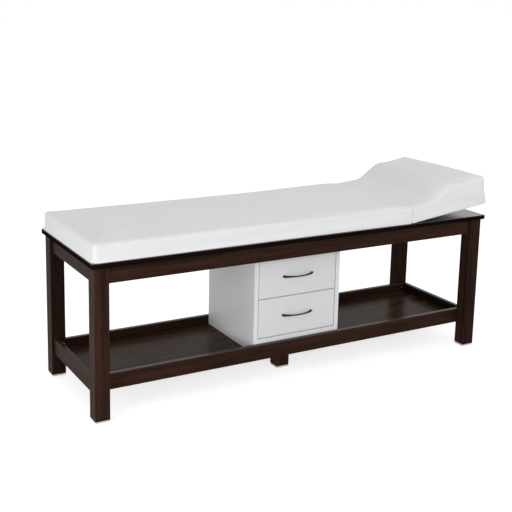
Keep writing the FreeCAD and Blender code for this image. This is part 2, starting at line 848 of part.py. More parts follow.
def head_body():
    """The whole head cushion, lying flat with its hinge axis at the seam."""
    stations = [-cut_overrun - cushion_edge_radius, head_hump_start / 2]
    hump_length = head_hump_end - head_hump_start
    stations += [head_hump_start + hump_length * share
                 for share in (0, 0.15, 0.3, 0.5, 0.7, 0.85, 1)]
    after = head_length - cushion_edge_radius - head_hump_end
    stations += [head_hump_end + after * share for share in (0.35, 0.7)]
    stations += [head_length - cushion_edge_radius * share for share in reversed(end_step_shares)]
    sections = []
    for u in stations:
        from_end = head_length - u + cushion_edge_radius * end_step_shares[0]
        inset = rounded_inset(from_end, cushion_edge_radius)
        rise, share = head_rise(u)
        crown = head_low_crown + (head_hump_crown - head_low_crown) * share
        fullness = math.sin(math.pi * max(u, 0) / head_length)
        radius = cushion_edge_radius - inset * (1 - end_step_shares[1])
        sections.append(cushion_section(
            u, cushion_half_width - cushion_draw_in * fullness - inset, head_underside,
            head_underside + head_low_height + rise - inset, crown, radius, cushion_flank_bulge))
    body = Part.makeLoft(sections, True, True)
    body.translate(hinge_place)
    return body


def raised(shape):
    """A piece of the head section, turned up from flat to its rest pose."""
    shape = shape.copy()
    shape.rotate(hinge_place, -across, rest_tilt)
    return shape


def fold_line_x(z):
    """Where the foam's fold line lies at one height, in the rest pose."""
    slope = math.tan(math.radians(raise_range + fold_angle_margin))
    return seam_x + fold_offset + max(z - hinge_z, 0) * slope


def fold_wedge():
    """The wedge of foam at the seam that is squeezed when the head section rises."""
    low = board_top_height - cut_overrun
    high = board_top_height + 2 * main_edge_height
    face = seam_x + running_gap
    y = -cushion_width
    outline = [V(face, y, low), V(face, y, high), V(fold_line_x(high), y, high),
               V(fold_line_x(hinge_z), y, hinge_z), V(fold_line_x(low), y, low)]
    return prism(outline, across * cushion_width * 2)


def seam_room():
    """The space on the main cushion's side of the seam."""
    return block(0, seam_x + running_gap, -cushion_width, cushion_width,
                 0, 2 * board_top_height)


def head_pocket():
    """The space in the head cushion's underside that holds its plywood."""
    pocket = block(-cut_overrun - cushion_edge_radius, head_length - base_inset,
                   -base_half_width, base_half_width, head_underside - cut_overrun, head_base_top)
    pocket.translate(hinge_place)
    return raised(pocket)


def head_cushion():
    """The head cushion past the fold line, with its raised pillow."""
    return raised(head_body()).cut([seam_room(), fold_wedge(), head_pocket()])


def head_cushion_fold():
    """The foam between the seam and the fold line."""
    return raised(head_body()).common(fold_wedge()).cut(head_pocket())


def head_base():
    """The head cushion's plywood, grooved for the stays and housed for the hinges."""
    panel = block(base_from_hinge, head_length - base_inset, -base_half_width, base_half_width,
                  head_underside, head_base_top)
    groove = block(stay_arm_reach - stay_groove_end_room,
                   2 * stay_arm_reach + stay_groove_end_room,
                   stay_from_middle - track_width / 2, stay_from_middle + track_width / 2,
                   head_underside - cut_overrun, head_underside + stay_groove_depth)
    panel = panel.cut([groove, mirrored(groove, across)])
    panel.translate(hinge_place)
    return raised(panel).cut([fold_wedge()] + hinge_leaves_moving().Solids)


# Hinges

def hinge_leaf(centre_y, numbers, bore):
    """A leaf that lies towards the head end, with its share of the barrel's knuckles."""
    knuckle = hinge_width / knuckle_count
    start_y = centre_y - hinge_width / 2
    top = head_underside + hinge_leaf_thickness
    pieces = [block(hinge_leaf_gap, hinge_leaf_gap + hinge_leaf_length,
                    start_y, start_y + hinge_width, head_underside, top)]
    for number in numbers:
        y = start_y + knuckle * number + running_gap / 2
        width = knuckle - running_gap
        pieces.append(block(0, hinge_leaf_gap, y, y + width, head_underside, top))
        pieces.append(rod(V(0, y, 0), across, hinge_barrel_radius, width))
    hole = rod(V(0, start_y - cut_overrun, 0), across, bore, hinge_width + 2 * cut_overrun)
    leaf = union(*pieces).cut(hole)
    leaf.translate(hinge_place)
    return leaf


def hinge_leaves_moving():
    """The leaves under the head cushion's base."""
    numbers = range(1, knuckle_count, 2)
    bore = hinge_pin_radius + pin_clearance
    return both_sides(raised(hinge_leaf(hinge_middle_y, numbers, bore)))


def hinge_leaves_fixed():
    """The leaves under the main cushion's base, turned over to the other side of the barrel."""
    numbers = range(0, knuckle_count, 2)
    leaf = hinge_leaf(hinge_middle_y, numbers, hinge_pin_radius)
    return both_sides(leaf.mirror(hinge_place, along))


def hinge_pins():
    """The pins through the barrels."""
    start = hinge_place + across * (hinge_middle_y - hinge_width / 2)
    return both_sides(rod(start, across, hinge_pin_radius, hinge_width))


# Slide stays

def stud(place):
    """A stud across the arm's end with its rivet head, starting on its ear."""
    length = stay_arm_thickness + 2 * running_gap
    shank = rod(place + across * stay_ear_y, -across, stay_stud_radius, length)
    head = flat_rod(place - across * stay_ear_y, -across, stay_rivet_radius, stay_rivet_height)
    return union(shank, head)


def ear(place, reach):
    """An upright ear round a stud, reaching down, or up, to its plate."""
    disc = flat_rod(place + across * stay_ear_y, across, stay_arm_radius, stay_ear_thickness)
    low, high = sorted((place.z, place.z + reach))
    plate = block(place.x - stay_arm_radius, place.x + stay_arm_radius,
                  place.y + stay_ear_y, place.y + stay_ear_y + stay_ear_thickness, low, high)
    return union(disc, plate)


def stay_bracket():
    """The angle bracket in the head base's groove, with the arm's upper stud."""
    place = bracket_place + across * stay_from_middle
    ceiling = hinge_z + head_underside + stay_groove_depth
    plate = block(place.x - stay_groove_end_room, place.x - stay_groove_end_room
                  + stay_bracket_length,
                  place.y + stay_ear_y, place.y + track_width / 2,
                  ceiling - stay_ear_thickness, ceiling)
    return raised(union(plate, ear(place, ceiling - place.z), stud(place)))


def stay_shoe():
    """The shoe that slides in the track, with the arm's lower stud."""
    place = shoe_place + across * stay_from_middle
    half_width = track_width / 2 - track_sheet - running_gap
    bottom = track_floor_z + track_sheet + running_gap
    top = board_top_height - track_sheet - running_gap
    base = block(place.x - shoe_length / 2, place.x + shoe_length / 2,
                 place.y - half_width, place.y + half_width, bottom, top)
    return union(base, ear(place, top - place.z), stud(place))


def stay_arm():
    """The flat arm between the two studs."""
    foot = shoe_place + across * (stay_from_middle - stay_arm_thickness / 2)
    width = across * stay_arm_thickness
    bar = block(-stay_arm_reach, 0, 0, stay_arm_thickness, -stay_arm_radius, stay_arm_radius)
    ends = [flat_rod(V(-stay_arm_reach, 0, 0), across, stay_arm_radius, width.Length),
            flat_rod(V(0, 0, 0), across, stay_arm_radius, width.Length)]
    arm = union(bar, *ends)
    for x in (-stay_arm_reach, 0):
        arm = arm.cut(rod(V(x, 0, 0), across, stay_stud_radius + pin_clearance, width.Length))
    arm.rotate(V(0, 0, 0), across, rest_tilt)
    arm.translate(foot)
    return arm


def stay_track():
    """The lipped channel let into the board."""
    y0 = stay_from_middle - track_width / 2
    y1 = stay_from_middle + track_width / 2
    x0, x1 = track_foot_x - cut_overrun, track_head_x + cut_overrun
    body = block(track_foot_x, track_head_x, y0, y1, track_floor_z, board_top_height)
    room = block(x0, x1, y0 + track_sheet, y1 - track_sheet,
                 track_floor_z + track_sheet, board_top_height - track_sheet)
    mouth = block(x0, x1, y0 + track_sheet + track_lip, y1 - track_sheet - track_lip,
                  track_floor_z + track_sheet, board_top_height + cut_overrun)
    return body.cut([room, mouth])


def nodes():
    """Every piece by its node name."""
    pieces = {
        "apron_rear": side_apron(),
        "apron_front": mirrored(side_apron(), across),
        "apron_head_end": end_apron(),
        "apron_foot_end": mirrored(end_apron(), along),
        "corner_braces": all_corners(corner_brace()),
        "corner_bolts": corner_bolts(),
        "cross_bearers": cross_bearers(),
        "top_board": top_board(),
        "tray_board": tray_board(),
        "tray_rail_rear": tray_side_rail(),
        "tray_rail_front": mirrored(tray_side_rail(), across),
        "tray_rail_head_end": tray_end_rail(),
        "tray_rail_foot_end": mirrored(tray_end_rail(), along),
        "tray_screws": tray_screws(),
        "centre_foot_rear": centre_foot(),
        "centre_foot_front": mirrored(centre_foot(), across),
        "glides": glides(),
        "cabinet_side_head": cabinet_side(),
        "cabinet_side_foot": mirrored(cabinet_side(), along),
        "cabinet_top": cabinet_top(),
        "cabinet_bottom": cabinet_bottom(),
        "cabinet_back": cabinet_back(),
        "cabinet_plinth": cabinet_plinth(),
        "cabinet_screws": cabinet_screws(),
        "main_cushion": main_cushion(),
        "main_base": main_base(),
        "head_cushion": head_cushion(),
        "head_cushion_fold": head_cushion_fold(),
        "head_base": head_base(),
        "hinge_leaves_fixed": hinge_leaves_fixed(),
        "hinge_leaves_moving": hinge_leaves_moving(),
        "hinge_pins": hinge_pins(),
        "stay_tracks": both_sides(stay_track()),
        "stay_shoes": both_sides(stay_shoe()),
        "stay_arms": both_sides(stay_arm()),
        "stay_brackets": both_sides(stay_bracket()),
    }
    for end, side in corners:
        pieces["leg_" + side + "_" + end] = placed(leg(), end, side)
    pieces.update(drawer("lower", lower_face_bottom))
    pieces.update(drawer("upper", upper_face_bottom))
    return pieces


os.makedirs("parts", exist_ok=True)
for node_name, shape in nodes().items():
    shape.translate(V(-origin_from_frame_middle, 0, 0))
    shape.exportStep("parts/" + node_name + ".step")
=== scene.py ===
"""Looks for a treatment bed with a drawer cabinet under its middle.

Metres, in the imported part's own frame: +X to the head end, -Y to the drawers' side, +Z up.
"""
import json
import math

import bmesh
import bpy
import numpy as np
from mathutils import Matrix, Vector, noise


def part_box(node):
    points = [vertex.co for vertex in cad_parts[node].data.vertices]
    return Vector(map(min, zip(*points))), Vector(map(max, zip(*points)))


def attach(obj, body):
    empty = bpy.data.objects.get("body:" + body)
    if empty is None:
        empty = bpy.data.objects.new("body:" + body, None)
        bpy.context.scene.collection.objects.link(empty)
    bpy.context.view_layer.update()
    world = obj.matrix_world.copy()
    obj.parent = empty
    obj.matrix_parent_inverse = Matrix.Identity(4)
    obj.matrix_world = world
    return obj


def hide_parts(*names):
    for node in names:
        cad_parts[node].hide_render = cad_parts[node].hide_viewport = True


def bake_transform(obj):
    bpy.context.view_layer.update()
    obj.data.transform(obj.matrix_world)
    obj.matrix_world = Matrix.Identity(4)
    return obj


bl_info = {
    "name": "Treatment bed finisher",
    "version": (1, 0, 0),
    "blender": (4, 5, 0),
    "location": "3D View > Sidebar > Treatment bed",
    "description": "Dresses a packed treatment bed with wood, laminate, metal and padded covers",
    "category": "Object",
}

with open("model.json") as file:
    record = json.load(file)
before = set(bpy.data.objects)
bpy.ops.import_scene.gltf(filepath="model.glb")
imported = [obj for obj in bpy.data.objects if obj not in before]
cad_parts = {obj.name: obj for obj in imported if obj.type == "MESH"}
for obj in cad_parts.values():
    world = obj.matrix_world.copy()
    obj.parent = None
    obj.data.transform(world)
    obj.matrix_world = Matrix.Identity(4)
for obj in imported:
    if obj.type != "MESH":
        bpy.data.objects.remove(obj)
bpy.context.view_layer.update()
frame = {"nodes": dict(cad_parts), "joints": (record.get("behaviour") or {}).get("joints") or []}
NODES = frame["nodes"]

# Places read from the frame
HINGE = next(joint for joint in frame["joints"] if joint["name"] == "head_hinge")
HINGE_PLACE = Vector(HINGE["pos_m"])
REST_TILT = math.radians(-HINGE["range_deg"][0])
BOARD_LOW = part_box("top_board")[0]
BOARD_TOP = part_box("top_board")[1].z
MAIN_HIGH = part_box("main_cushion")[1]
BASE_LOW, BASE_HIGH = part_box("main_base")


# Settings that a user may change

def length(name, text, value):
    """A length setting in metres."""
    return bpy.props.FloatProperty(name=name, description=text, default=value, min=0.0,
                                   subtype="DISTANCE", unit="LENGTH")


def colour(name, text, value):
    """A colour setting."""
    return bpy.props.FloatVectorProperty(name=name, description=text, default=value, size=3,
                                         min=0.0, max=1.0, subtype="COLOR")


def fraction(name, text, value):
    """A setting from 0 to 1."""
    return bpy.props.FloatProperty(name=name, description=text, default=value, min=0.0,
                                   max=1.0, subtype="FACTOR")


class BedCushionSettings(bpy.types.PropertyGroup):
    """Sizes and cover of the two cushions"""
    edge_radius: length("Edge radius", "Rounding of the cushions' upper edges", 0.014)
    grid_step: length("Mesh step", "Spacing of the covers' mesh before it is filled", 0.011)
    seam_groove: length("Seam depth", "How far the sewn seams draw in", 0.0011)
    swell_cap: length("Most swelling", "How far the filled cover may move outwards", 0.006)
    pressure: bpy.props.FloatProperty(name="Filling pressure", default=4.0, min=0.0,
                                      description="Pressure inside the covers while they fill")
    head_low: length("Head section's low part", "Height of the head cushion near the seam", 0.075)
    hump_rise: length("Pillow rise", "How far the pillow stands over the low part", 0.055)
    hump_start: length("Pillow start", "Distance from the seam to the pillow's foot", 0.117)
    hump_end: length("Pillow shoulder", "Distance from the seam to the pillow's shoulder", 0.260)
    head_length: length("Head length", "Length of the head cushion from the hinge axis", 0.445)
    cover: colour("Cover", "Coated fabric of the cushions", (0.80, 0.80, 0.805))


class BedFinishSettings(bpy.types.PropertyGroup):
    """Colours of the frame, the cabinet and the metal"""
    wood_dark: colour("Dark wood", "Stain in the grain's valleys", (0.0152, 0.0067, 0.0049))
    wood_light: colour("Light wood", "Stain on the grain's ridges", (0.0485, 0.0226, 0.0155))
    board_dark: colour("Dark board", "Edge and top of the cushion board", (0.0042, 0.0023, 0.0018))
    board_light: colour("Light board", "Grain of the cushion board", (0.0125, 0.0070, 0.0055))
    shelf_dark: colour("Dark shelf", "Stain of the shelf board", (0.0205, 0.0100, 0.0056))
    shelf_light: colour("Light shelf", "Grain of the shelf board", (0.0580, 0.0315, 0.0180))
    carcass: colour("Carcass", "Laminate of the cabinet's panels", (0.755, 0.76, 0.78))
    fronts: colour("Drawer fronts", "Laminate of the drawer fronts", (0.71, 0.715, 0.72))
    plywood: colour("Plywood", "Birch faces of the cushions' bases", (0.52, 0.36, 0.20))
    chrome: colour("Dark chrome", "Plating of the bow handles", (0.020, 0.020, 0.023))
    steel: colour("Zinc", "Plating of screws, slides and hinges", (0.52, 0.53, 0.55))
    glide: colour("Glides", "Plastic of the pads under the legs", (0.72, 0.71, 0.69))
    gloss: fraction("Board gloss", "Lacquer on the cushion board", 1.0)
    rail_gloss: fraction("Rail gloss", "Lacquer on the upper faces of long rails and aprons", 0.35)
    # Painted shade: the rear pieces' wood is darkened by this share, and the head-end crosswise pieces
    # by its square; it stands in for shade there, not a different stain.
    painted_rear_shade: fraction("Painted rear shade", "How much of the wood's tone the rear pieces keep under painted shade", 0.65)


class BedStageSettings(bpy.types.PropertyGroup):
    """Floor, lamps and camera"""
    floor: colour("Floor", "Colour of the studio floor", (0.62, 0.62, 0.62))
    lift: fraction("Floor brightness", "How much of the floor's white doesn't depend on the lamps", 0.72)
    key: bpy.props.FloatProperty(name="Main lamp", default=69.0, min=0.0,
                                 description="Power of the large lamp beside the camera")
    fill: bpy.props.FloatProperty(name="Foot-end lamp", default=10.5, min=0.0,
                                  description="Power of the small lamp near the foot end")
    low: bpy.props.FloatProperty(name="Low lamp", default=0.06, min=0.0,
                                 description="Power of the narrow lamp that reaches under the board")
    sky: bpy.props.FloatProperty(name="Room light", default=0.705, min=0.0,
                                 description="Strength of the light that comes from all round")
    lens: bpy.props.FloatProperty(name="Lens", default=67.25, min=1.0, subtype="DISTANCE_CAMERA",
                                  description="Focal length of the camera in millimetres")


# Node trees

class Sheet:
    """A node tree with short ways to add and join nodes."""

    def __init__(self, tree):
        self.tree = tree

    def add(self, kind, inputs=(), **settings):
        """A node with its settings, and values or links for its inputs."""
        node = self.tree.nodes.new(kind)
        for key, value in settings.items():
            setattr(node, key, value)
        for key, value in dict(inputs).items():
            self.put(node, key, value)
        return node

    def put(self, node, key, value):
        """A value, or another node's socket, for one input."""
        if isinstance(value, bpy.types.NodeSocket):
            self.tree.links.new(value, node.inputs[key])
        else:
            node.inputs[key].default_value = value

    def noise(self, vector, scale, detail=4.0, roughness=0.55, distortion=0.0):
        """A noise value from 0 to 1."""
        node = self.add("ShaderNodeTexNoise", {
            "Vector": vector, "Scale": scale, "Detail": detail, "Roughness": roughness,
            "Distortion": distortion})
        return node.outputs[0]

    def ranged(self, value, low, high, to_low=0.0, to_high=1.0):
        """A value mapped from one range to another, clamped."""
        node = self.add("ShaderNodeMapRange", {
            "Value": value, "From Min": low, "From Max": high, "To Min": to_low,
            "To Max": to_high})
        return node.outputs[0]

    def maths(self, operation, *values):
        """A sum on one, two or three values."""
        node = self.add("ShaderNodeMath", dict(enumerate(values)), operation=operation)
        return node.outputs[0]

    def mixed(self, factor, first, second, blend="MIX"):
        """Two colours mixed by a factor."""
        node = self.add("ShaderNodeMix", data_type="RGBA", blend_type=blend,
                        clamp_factor=True)
        self.put(node, 0, factor)
        self.put(node, 6, first)
        self.put(node, 7, second)
        return node.outputs[2]

    def group(self, tree, inputs=()):
        """One of the shared groups, placed with its own values."""
        node = self.tree.nodes.new("ShaderNodeGroup")
        node.node_tree = tree
        for key, value in dict(inputs).items():
            self.put(node, key, value)
        return node


def solid(rgb):
    """A colour with its alpha."""
    return (*rgb, 1.0)


def scaled(rgb, factor, most=1.0):
    """A colour made lighter or darker, each part no more than the most."""
    return [min(part * factor, most) for part in rgb]


def new_group(name, inputs, outputs):
    """An empty group with its named sockets, and the sheet, source and sink to draw it with."""
    tree = bpy.data.node_groups.new(name, "ShaderNodeTree")
    for socket, kind, value in inputs:
        made = tree.interface.new_socket(name=socket, in_out="INPUT", socket_type=kind)
        if value is not None:
            made.default_value = value
    for socket, kind in outputs:
        tree.interface.new_socket(name=socket, in_out="OUTPUT", socket_type=kind)
    sheet = Sheet(tree)
    return sheet, sheet.add("NodeGroupInput").outputs, sheet.add("NodeGroupOutput")


FLOAT, COLOUR, VECTOR = "NodeSocketFloat", "NodeSocketColor", "NodeSocketVector"


def wood_grain_group():
    """Streaks, fibres and pores of stained wood, along the first axis of the given vector."""
    sheet, given, out = new_group(
        "Wood grain",
        [("Vector", VECTOR, None), ("Dark", COLOUR, (0, 0, 0, 1)), ("Light", COLOUR, (1, 1, 1, 1)),
         ("Contrast", FLOAT, 1.0)],
        [("Color", COLOUR), ("Height", FLOAT), ("Roughness", FLOAT)])
    streaks = sheet.noise(given["Vector"], 22.0, 5.0, 0.6, 0.5)
    fibres = sheet.noise(given["Vector"], 120.0, 4.0, 0.7)
    pores = sheet.ranged(sheet.noise(given["Vector"], 420.0, 2.0, 0.5), 0.60, 0.72)
    both = sheet.maths("ADD", sheet.maths("MULTIPLY", streaks, 0.65),
                       sheet.maths("MULTIPLY", fibres, 0.35))
    tone = sheet.ranged(both, 0.36, 0.64)
    tone = sheet.maths("MULTIPLY_ADD", sheet.maths("SUBTRACT", tone, 0.5), given["Contrast"], 0.5)
    stained = sheet.mixed(tone, given["Dark"], given["Light"])
    shaded = sheet.mixed(sheet.maths("MULTIPLY", pores, 0.55), stained, given["Dark"])
    height = sheet.maths("SUBTRACT", sheet.maths("MULTIPLY", fibres, 0.4), pores)
    sheet.put(out, "Color", shaded)
    sheet.put(out, "Height", height)
    sheet.put(out, "Roughness", sheet.ranged(both, 0.3, 0.7, 0.38, 0.50))
    return sheet.tree


def soft_edge_group():
    """Normals rounded at the edges, and a mask of those edges for painted edge highlights."""
    sheet, given, out = new_group(
        "Soft edges", [("Radius", FLOAT, 0.001)], [("Normal", VECTOR), ("Edge", FLOAT)])
    bevel = sheet.add("ShaderNodeBevel", {"Radius": given["Radius"]}, samples=4)
    place = sheet.add("ShaderNodeNewGeometry")
    match = sheet.add("ShaderNodeVectorMath", {0: bevel.outputs[0], 1: place.outputs["Normal"]},
                      operation="DOT_PRODUCT")
    sheet.put(out, "Normal", bevel.outputs[0])
    sheet.put(out, "Edge", sheet.ranged(match.outputs["Value"], 0.995, 0.86))
    return sheet.tree


def mottle_group():
    """Slow changes of tone and fine dust over a plain surface."""
    sheet, given, out = new_group(
        "Mottle", [("Vector", VECTOR, None), ("Color", COLOUR, (1, 1, 1, 1)),
                   ("Depth", FLOAT, 0.05)],
        [("Color", COLOUR), ("Dust", FLOAT)])
    slow = sheet.noise(given["Vector"], 4.0, 3.0, 0.5)
    fine = sheet.noise(given["Vector"], 900.0, 2.0, 0.6)
    darker = sheet.mixed(given["Depth"], given["Color"], (0.0, 0.0, 0.0, 1.0))
    tone = sheet.maths("MULTIPLY_ADD", fine, 0.3, sheet.maths("MULTIPLY", slow, 0.7))
    sheet.put(out, "Color", sheet.mixed(sheet.ranged(tone, 0.35, 0.65), darker, given["Color"]))
    sheet.put(out, "Dust", sheet.ranged(fine, 0.35, 0.70))
    return sheet.tree


def cover_grain_group():
    """Pebbled skin of a coated fabric, with slow waves under it, and a mask of the pebbles' valleys for
    roughness and painted shade.
    """
    sheet, given, out = new_group(
        "Cover grain", [("Vector", VECTOR, None), ("Pebble Size", FLOAT, 0.0016)],
        [("Height", FLOAT), ("Valley", FLOAT)])
    scale = sheet.maths("DIVIDE", 1.0, given["Pebble Size"])
    cells = sheet.add("ShaderNodeTexVoronoi", {"Vector": given["Vector"], "Scale": scale},
                      feature="SMOOTH_F1")
    pebbles = sheet.ranged(cells.outputs["Distance"], 0.1, 0.7, 1.0, 0.0)
    slow = sheet.noise(given["Vector"], 26.0, 3.0, 0.55)
    height = sheet.maths("MULTIPLY_ADD", pebbles, 0.35, slow)
    sheet.put(out, "Height", height)
    sheet.put(out, "Valley", sheet.ranged(pebbles, 0.0, 0.35, 1.0, 0.0))
    return sheet.tree


GROUP_MAKERS = {
    "Wood grain": wood_grain_group,
    "Soft edges": soft_edge_group,
    "Mottle": mottle_group,
    "Cover grain": cover_grain_group,
}


def shared(name):
    """A shared group by name, drawn the first time it is asked for."""
    return bpy.data.node_groups.get(name) or GROUP_MAKERS[name]()


def new_material(name, **plain):
    """A material with its shader's plain values set, its sheet and its shader."""
    material = bpy.data.materials.new(name)
    material.use_nodes = True
    sheet = Sheet(material.node_tree)
    shader = material.node_tree.nodes["Principled BSDF"]
    for key, value in plain.items():
        shader.inputs[key.replace("_", " ")].default_value = value
    return material, sheet, shader


def place_on_piece(sheet, scale=(1.0, 1.0, 1.0)):
    """The place on the piece itself, scaled along each axis."""
    coordinates = sheet.add("ShaderNodeTexCoord")
    mapping = sheet.add("ShaderNodeMapping", {
        "Vector": coordinates.outputs["Object"], "Scale": scale})
    return mapping.outputs[0]


def bumped(sheet, height, distance, normal=None, strength=1.0):
    """A normal raised by a height."""
    inputs = {"Height": height, "Distance": distance, "Strength": strength}
    if normal is not None:
        inputs["Normal"] = normal
    return sheet.add("ShaderNodeBump", inputs).outputs[0]


# How far the grain is drawn out along each axis
GRAIN_STRETCH = {
    "x": (0.055, 1.0, 1.0),
    "y": (1.0, 0.055, 1.0),
    "z": (1.0, 1.0, 0.055),
}


def wood_material(name, axis, dark, light, painted_highlight_gain=2.4, contrast=1.0, coat=0.0,
                  rough_shift=0.0, specular=0.02, sheen=(1.0, 1.0, 1.0)):
    """Stained wood with its grain along one axis and a painted highlight along its edges."""
    material, sheet, shader = new_material(name, Specular_IOR_Level=specular,
                                           Specular_Tint=(*sheen, 1.0),
                                           Coat_Roughness=0.20, Coat_IOR=2.1)
    grain = sheet.group(shared("Wood grain"), {
        "Vector": place_on_piece(sheet, GRAIN_STRETCH[axis]),
        "Dark": solid(dark), "Light": solid(light), "Contrast": contrast})
    edges = sheet.group(shared("Soft edges"), {"Radius": 0.0012})
    # Painted highlight: the edges are mixed towards a lighter copy of the wood's colour.
    painted_wood_highlight = solid(scaled(light, painted_highlight_gain))
    tone = sheet.mixed(sheet.maths("MULTIPLY", edges.outputs["Edge"], 0.6),
                       grain.outputs["Color"], painted_wood_highlight)
    sheet.put(shader, "Base Color", tone)
    sheet.put(shader, "Roughness", sheet.maths("ADD", grain.outputs["Roughness"], rough_shift))
    sheet.put(shader, "Normal", bumped(sheet, grain.outputs["Height"], 0.00022,
                                       edges.outputs["Normal"]))
    if coat:
        upright = sheet.add("ShaderNodeSeparateXYZ", {
            0: sheet.add("ShaderNodeNewGeometry").outputs["Normal"]})
        sheet.put(shader, "Coat Weight", sheet.ranged(upright.outputs["Z"], 0.3, 0.9,
                                                      0.0, coat))
    return material


def laminate_material(name, rgb):
    """White melamine with a faint orange-peel skin and a painted highlight that makes its edges slightly
    brighter.
    """
    material, sheet, shader = new_material(name, Specular_IOR_Level=0.35)
    place = place_on_piece(sheet)
    mottle = sheet.group(shared("Mottle"), {"Vector": place, "Color": solid(rgb),
                                            "Depth": 0.045})
    edges = sheet.group(shared("Soft edges"), {"Radius": 0.0009})
    # Painted highlight: the edges are mixed towards a lighter copy of the laminate's colour.
    painted_edge_highlight = solid(scaled(rgb, 1.12, 0.92))
    sheet.put(shader, "Base Color", sheet.mixed(
        sheet.maths("MULTIPLY", edges.outputs["Edge"], 0.7), mottle.outputs["Color"], painted_edge_highlight))
    sheet.put(shader, "Roughness", sheet.ranged(mottle.outputs["Dust"], 0.0, 1.0, 0.34, 0.42))
    peel = sheet.noise(place, 420.0, 2.0, 0.5)
    sheet.put(shader, "Normal", bumped(sheet, peel, 0.00004, edges.outputs["Normal"]))
    return material


def cover_material(name, rgb):
    """White coated fabric with a pebbled skin and painted shade in the pebbles' valleys."""
    material, sheet, shader = new_material(name, Specular_IOR_Level=0.30, Sheen_Weight=0.05)
    place = place_on_piece(sheet)
    mottle = sheet.group(shared("Mottle"), {"Vector": place, "Color": solid(rgb),
                                            "Depth": 0.03})
    skin = sheet.group(shared("Cover grain"), {"Vector": place, "Pebble Size": 0.0017})
    # Painted shade: the pebbles' valleys are mixed towards a darker copy of the cover's colour.
    painted_shade = solid(scaled(rgb, 0.90))
    sheet.put(shader, "Base Color", sheet.mixed(
        sheet.maths("MULTIPLY", skin.outputs["Valley"], 0.5), mottle.outputs["Color"], painted_shade))
    sheet.put(shader, "Roughness", sheet.ranged(skin.outputs["Valley"], 0.0, 1.0, 0.44, 0.58))
    sheet.put(shader, "Normal", bumped(sheet, skin.outputs["Height"], 0.00035))
    return material


def metal_material(name, rgb, rough, brushed=0.0):
    """Plated metal with fine streaks, cloudy roughness and a painted highlight on its edges."""
    material, sheet, shader = new_material(name, Metallic=1.0)
    place = place_on_piece(sheet)
    mottle = sheet.group(shared("Mottle"), {"Vector": place, "Color": solid(rgb),
                                            "Depth": 0.18})
    edges = sheet.group(shared("Soft edges"), {"Radius": 0.0004})
    # Painted highlight: the edges are mixed towards a lighter copy of the metal's colour.
    painted_edge_highlight = solid(scaled(rgb, 1.5, 0.95))
    sheet.put(shader, "Base Color", sheet.mixed(
        sheet.maths("MULTIPLY", edges.outputs["Edge"], 0.5), mottle.outputs["Color"], painted_edge_highlight))
    sheet.put(shader, "Roughness", sheet.ranged(mottle.outputs["Dust"], 0.0, 1.0, rough,
                                                rough + 0.10))
    streaks = sheet.noise(place_on_piece(sheet, (0.05, 1.0, 1.0)), 2400.0, 2.0, 0.5)
    sheet.put(shader, "Normal", bumped(sheet, streaks, 0.00002, edges.outputs["Normal"],
                                       brushed))
    return material


PLY = 0.0013
GLUE_LINE = 0.00015


def plywood_material(name, rgb):
    """Birch plywood: veneer figure on the faces and dark glue lines on the edges."""
    material, sheet, shader = new_material(name, Specular_IOR_Level=0.25)
    grain = sheet.group(shared("Wood grain"), {
        "Vector": place_on_piece(sheet, GRAIN_STRETCH["x"]),
        "Dark": solid(scaled(rgb, 0.62)), "Light": solid(rgb), "Contrast": 0.7})
    place = sheet.add("ShaderNodeSeparateXYZ", {0: place_on_piece(sheet)})
    plies = sheet.maths("PINGPONG", place.outputs["Z"], PLY)
    line = sheet.ranged(plies, PLY - GLUE_LINE, PLY - 0.00002)
    upright = sheet.add("ShaderNodeSeparateXYZ", {
        0: sheet.add("ShaderNodeNewGeometry").outputs["Normal"]})
    on_edge = sheet.ranged(sheet.maths("ABSOLUTE", upright.outputs["Z"]), 0.5, 0.3)
    sheet.put(shader, "Base Color", sheet.mixed(
        sheet.maths("MULTIPLY", sheet.maths("MULTIPLY", line, on_edge), 0.8),
        grain.outputs["Color"], solid(scaled(rgb, 0.3))))
    sheet.put(shader, "Roughness", sheet.ranged(grain.outputs["Height"], -1.0, 0.5, 0.75, 0.6))
    sheet.put(shader, "Normal", bumped(sheet, grain.outputs["Height"], 0.0003))
    return material


def plastic_material(name, rgb):
    """Moulded plastic with a matt, slightly scuffed skin."""
    material, sheet, shader = new_material(name, Specular_IOR_Level=0.4)
    place = place_on_piece(sheet)
    mottle = sheet.group(shared("Mottle"), {"Vector": place, "Color": solid(rgb),
                                            "Depth": 0.12})
    edges = sheet.group(shared("Soft edges"), {"Radius": 0.0008})
    sheet.put(shader, "Base Color", mottle.outputs["Color"])
    sheet.put(shader, "Roughness", sheet.ranged(mottle.outputs["Dust"], 0.0, 1.0, 0.45, 0.62))
    scuffs = sheet.noise(place, 700.0, 3.0, 0.6)
    sheet.put(shader, "Normal", bumped(sheet, scuffs, 0.00006, edges.outputs["Normal"]))
    return material


def finish_nodes(names, material):
    """Gives CAD nodes a material through their own slots."""
    for name in names:
        node = NODES[name]
        if not node.material_slots:
            node.data.materials.append(material)
        for slot in node.material_slots:
            slot.material = material


def nodes_named(*starts):
    """The CAD nodes whose names start so."""
    return [name for name in NODES if name.startswith(starts)]


# Meshes

def new_piece(name, points, faces, material, smooth=True):
    """A mesh object whose points are places in the part's own frame."""
    mesh = bpy.data.meshes.new(name)
    mesh.from_pydata([tuple(point) for point in points], [], faces)
    mesh.materials.append(material)
    for face in mesh.polygons:
        face.use_smooth = smooth
    mesh.update()
    piece = bpy.data.objects.new(name, mesh)
    bpy.context.scene.collection.objects.link(piece)
    return piece


def read_points(piece):
    """The points of a piece, or of its evaluated form, as an array."""
    flat = np.zeros(len(piece.data.vertices) * 3)
    piece.data.vertices.foreach_get("co", flat)
    return flat.reshape(-1, 3)


def write_points(piece, points):
    """New places for the piece's points."""
    piece.data.vertices.foreach_set("co", np.asarray(points, float).ravel())
    piece.data.update()


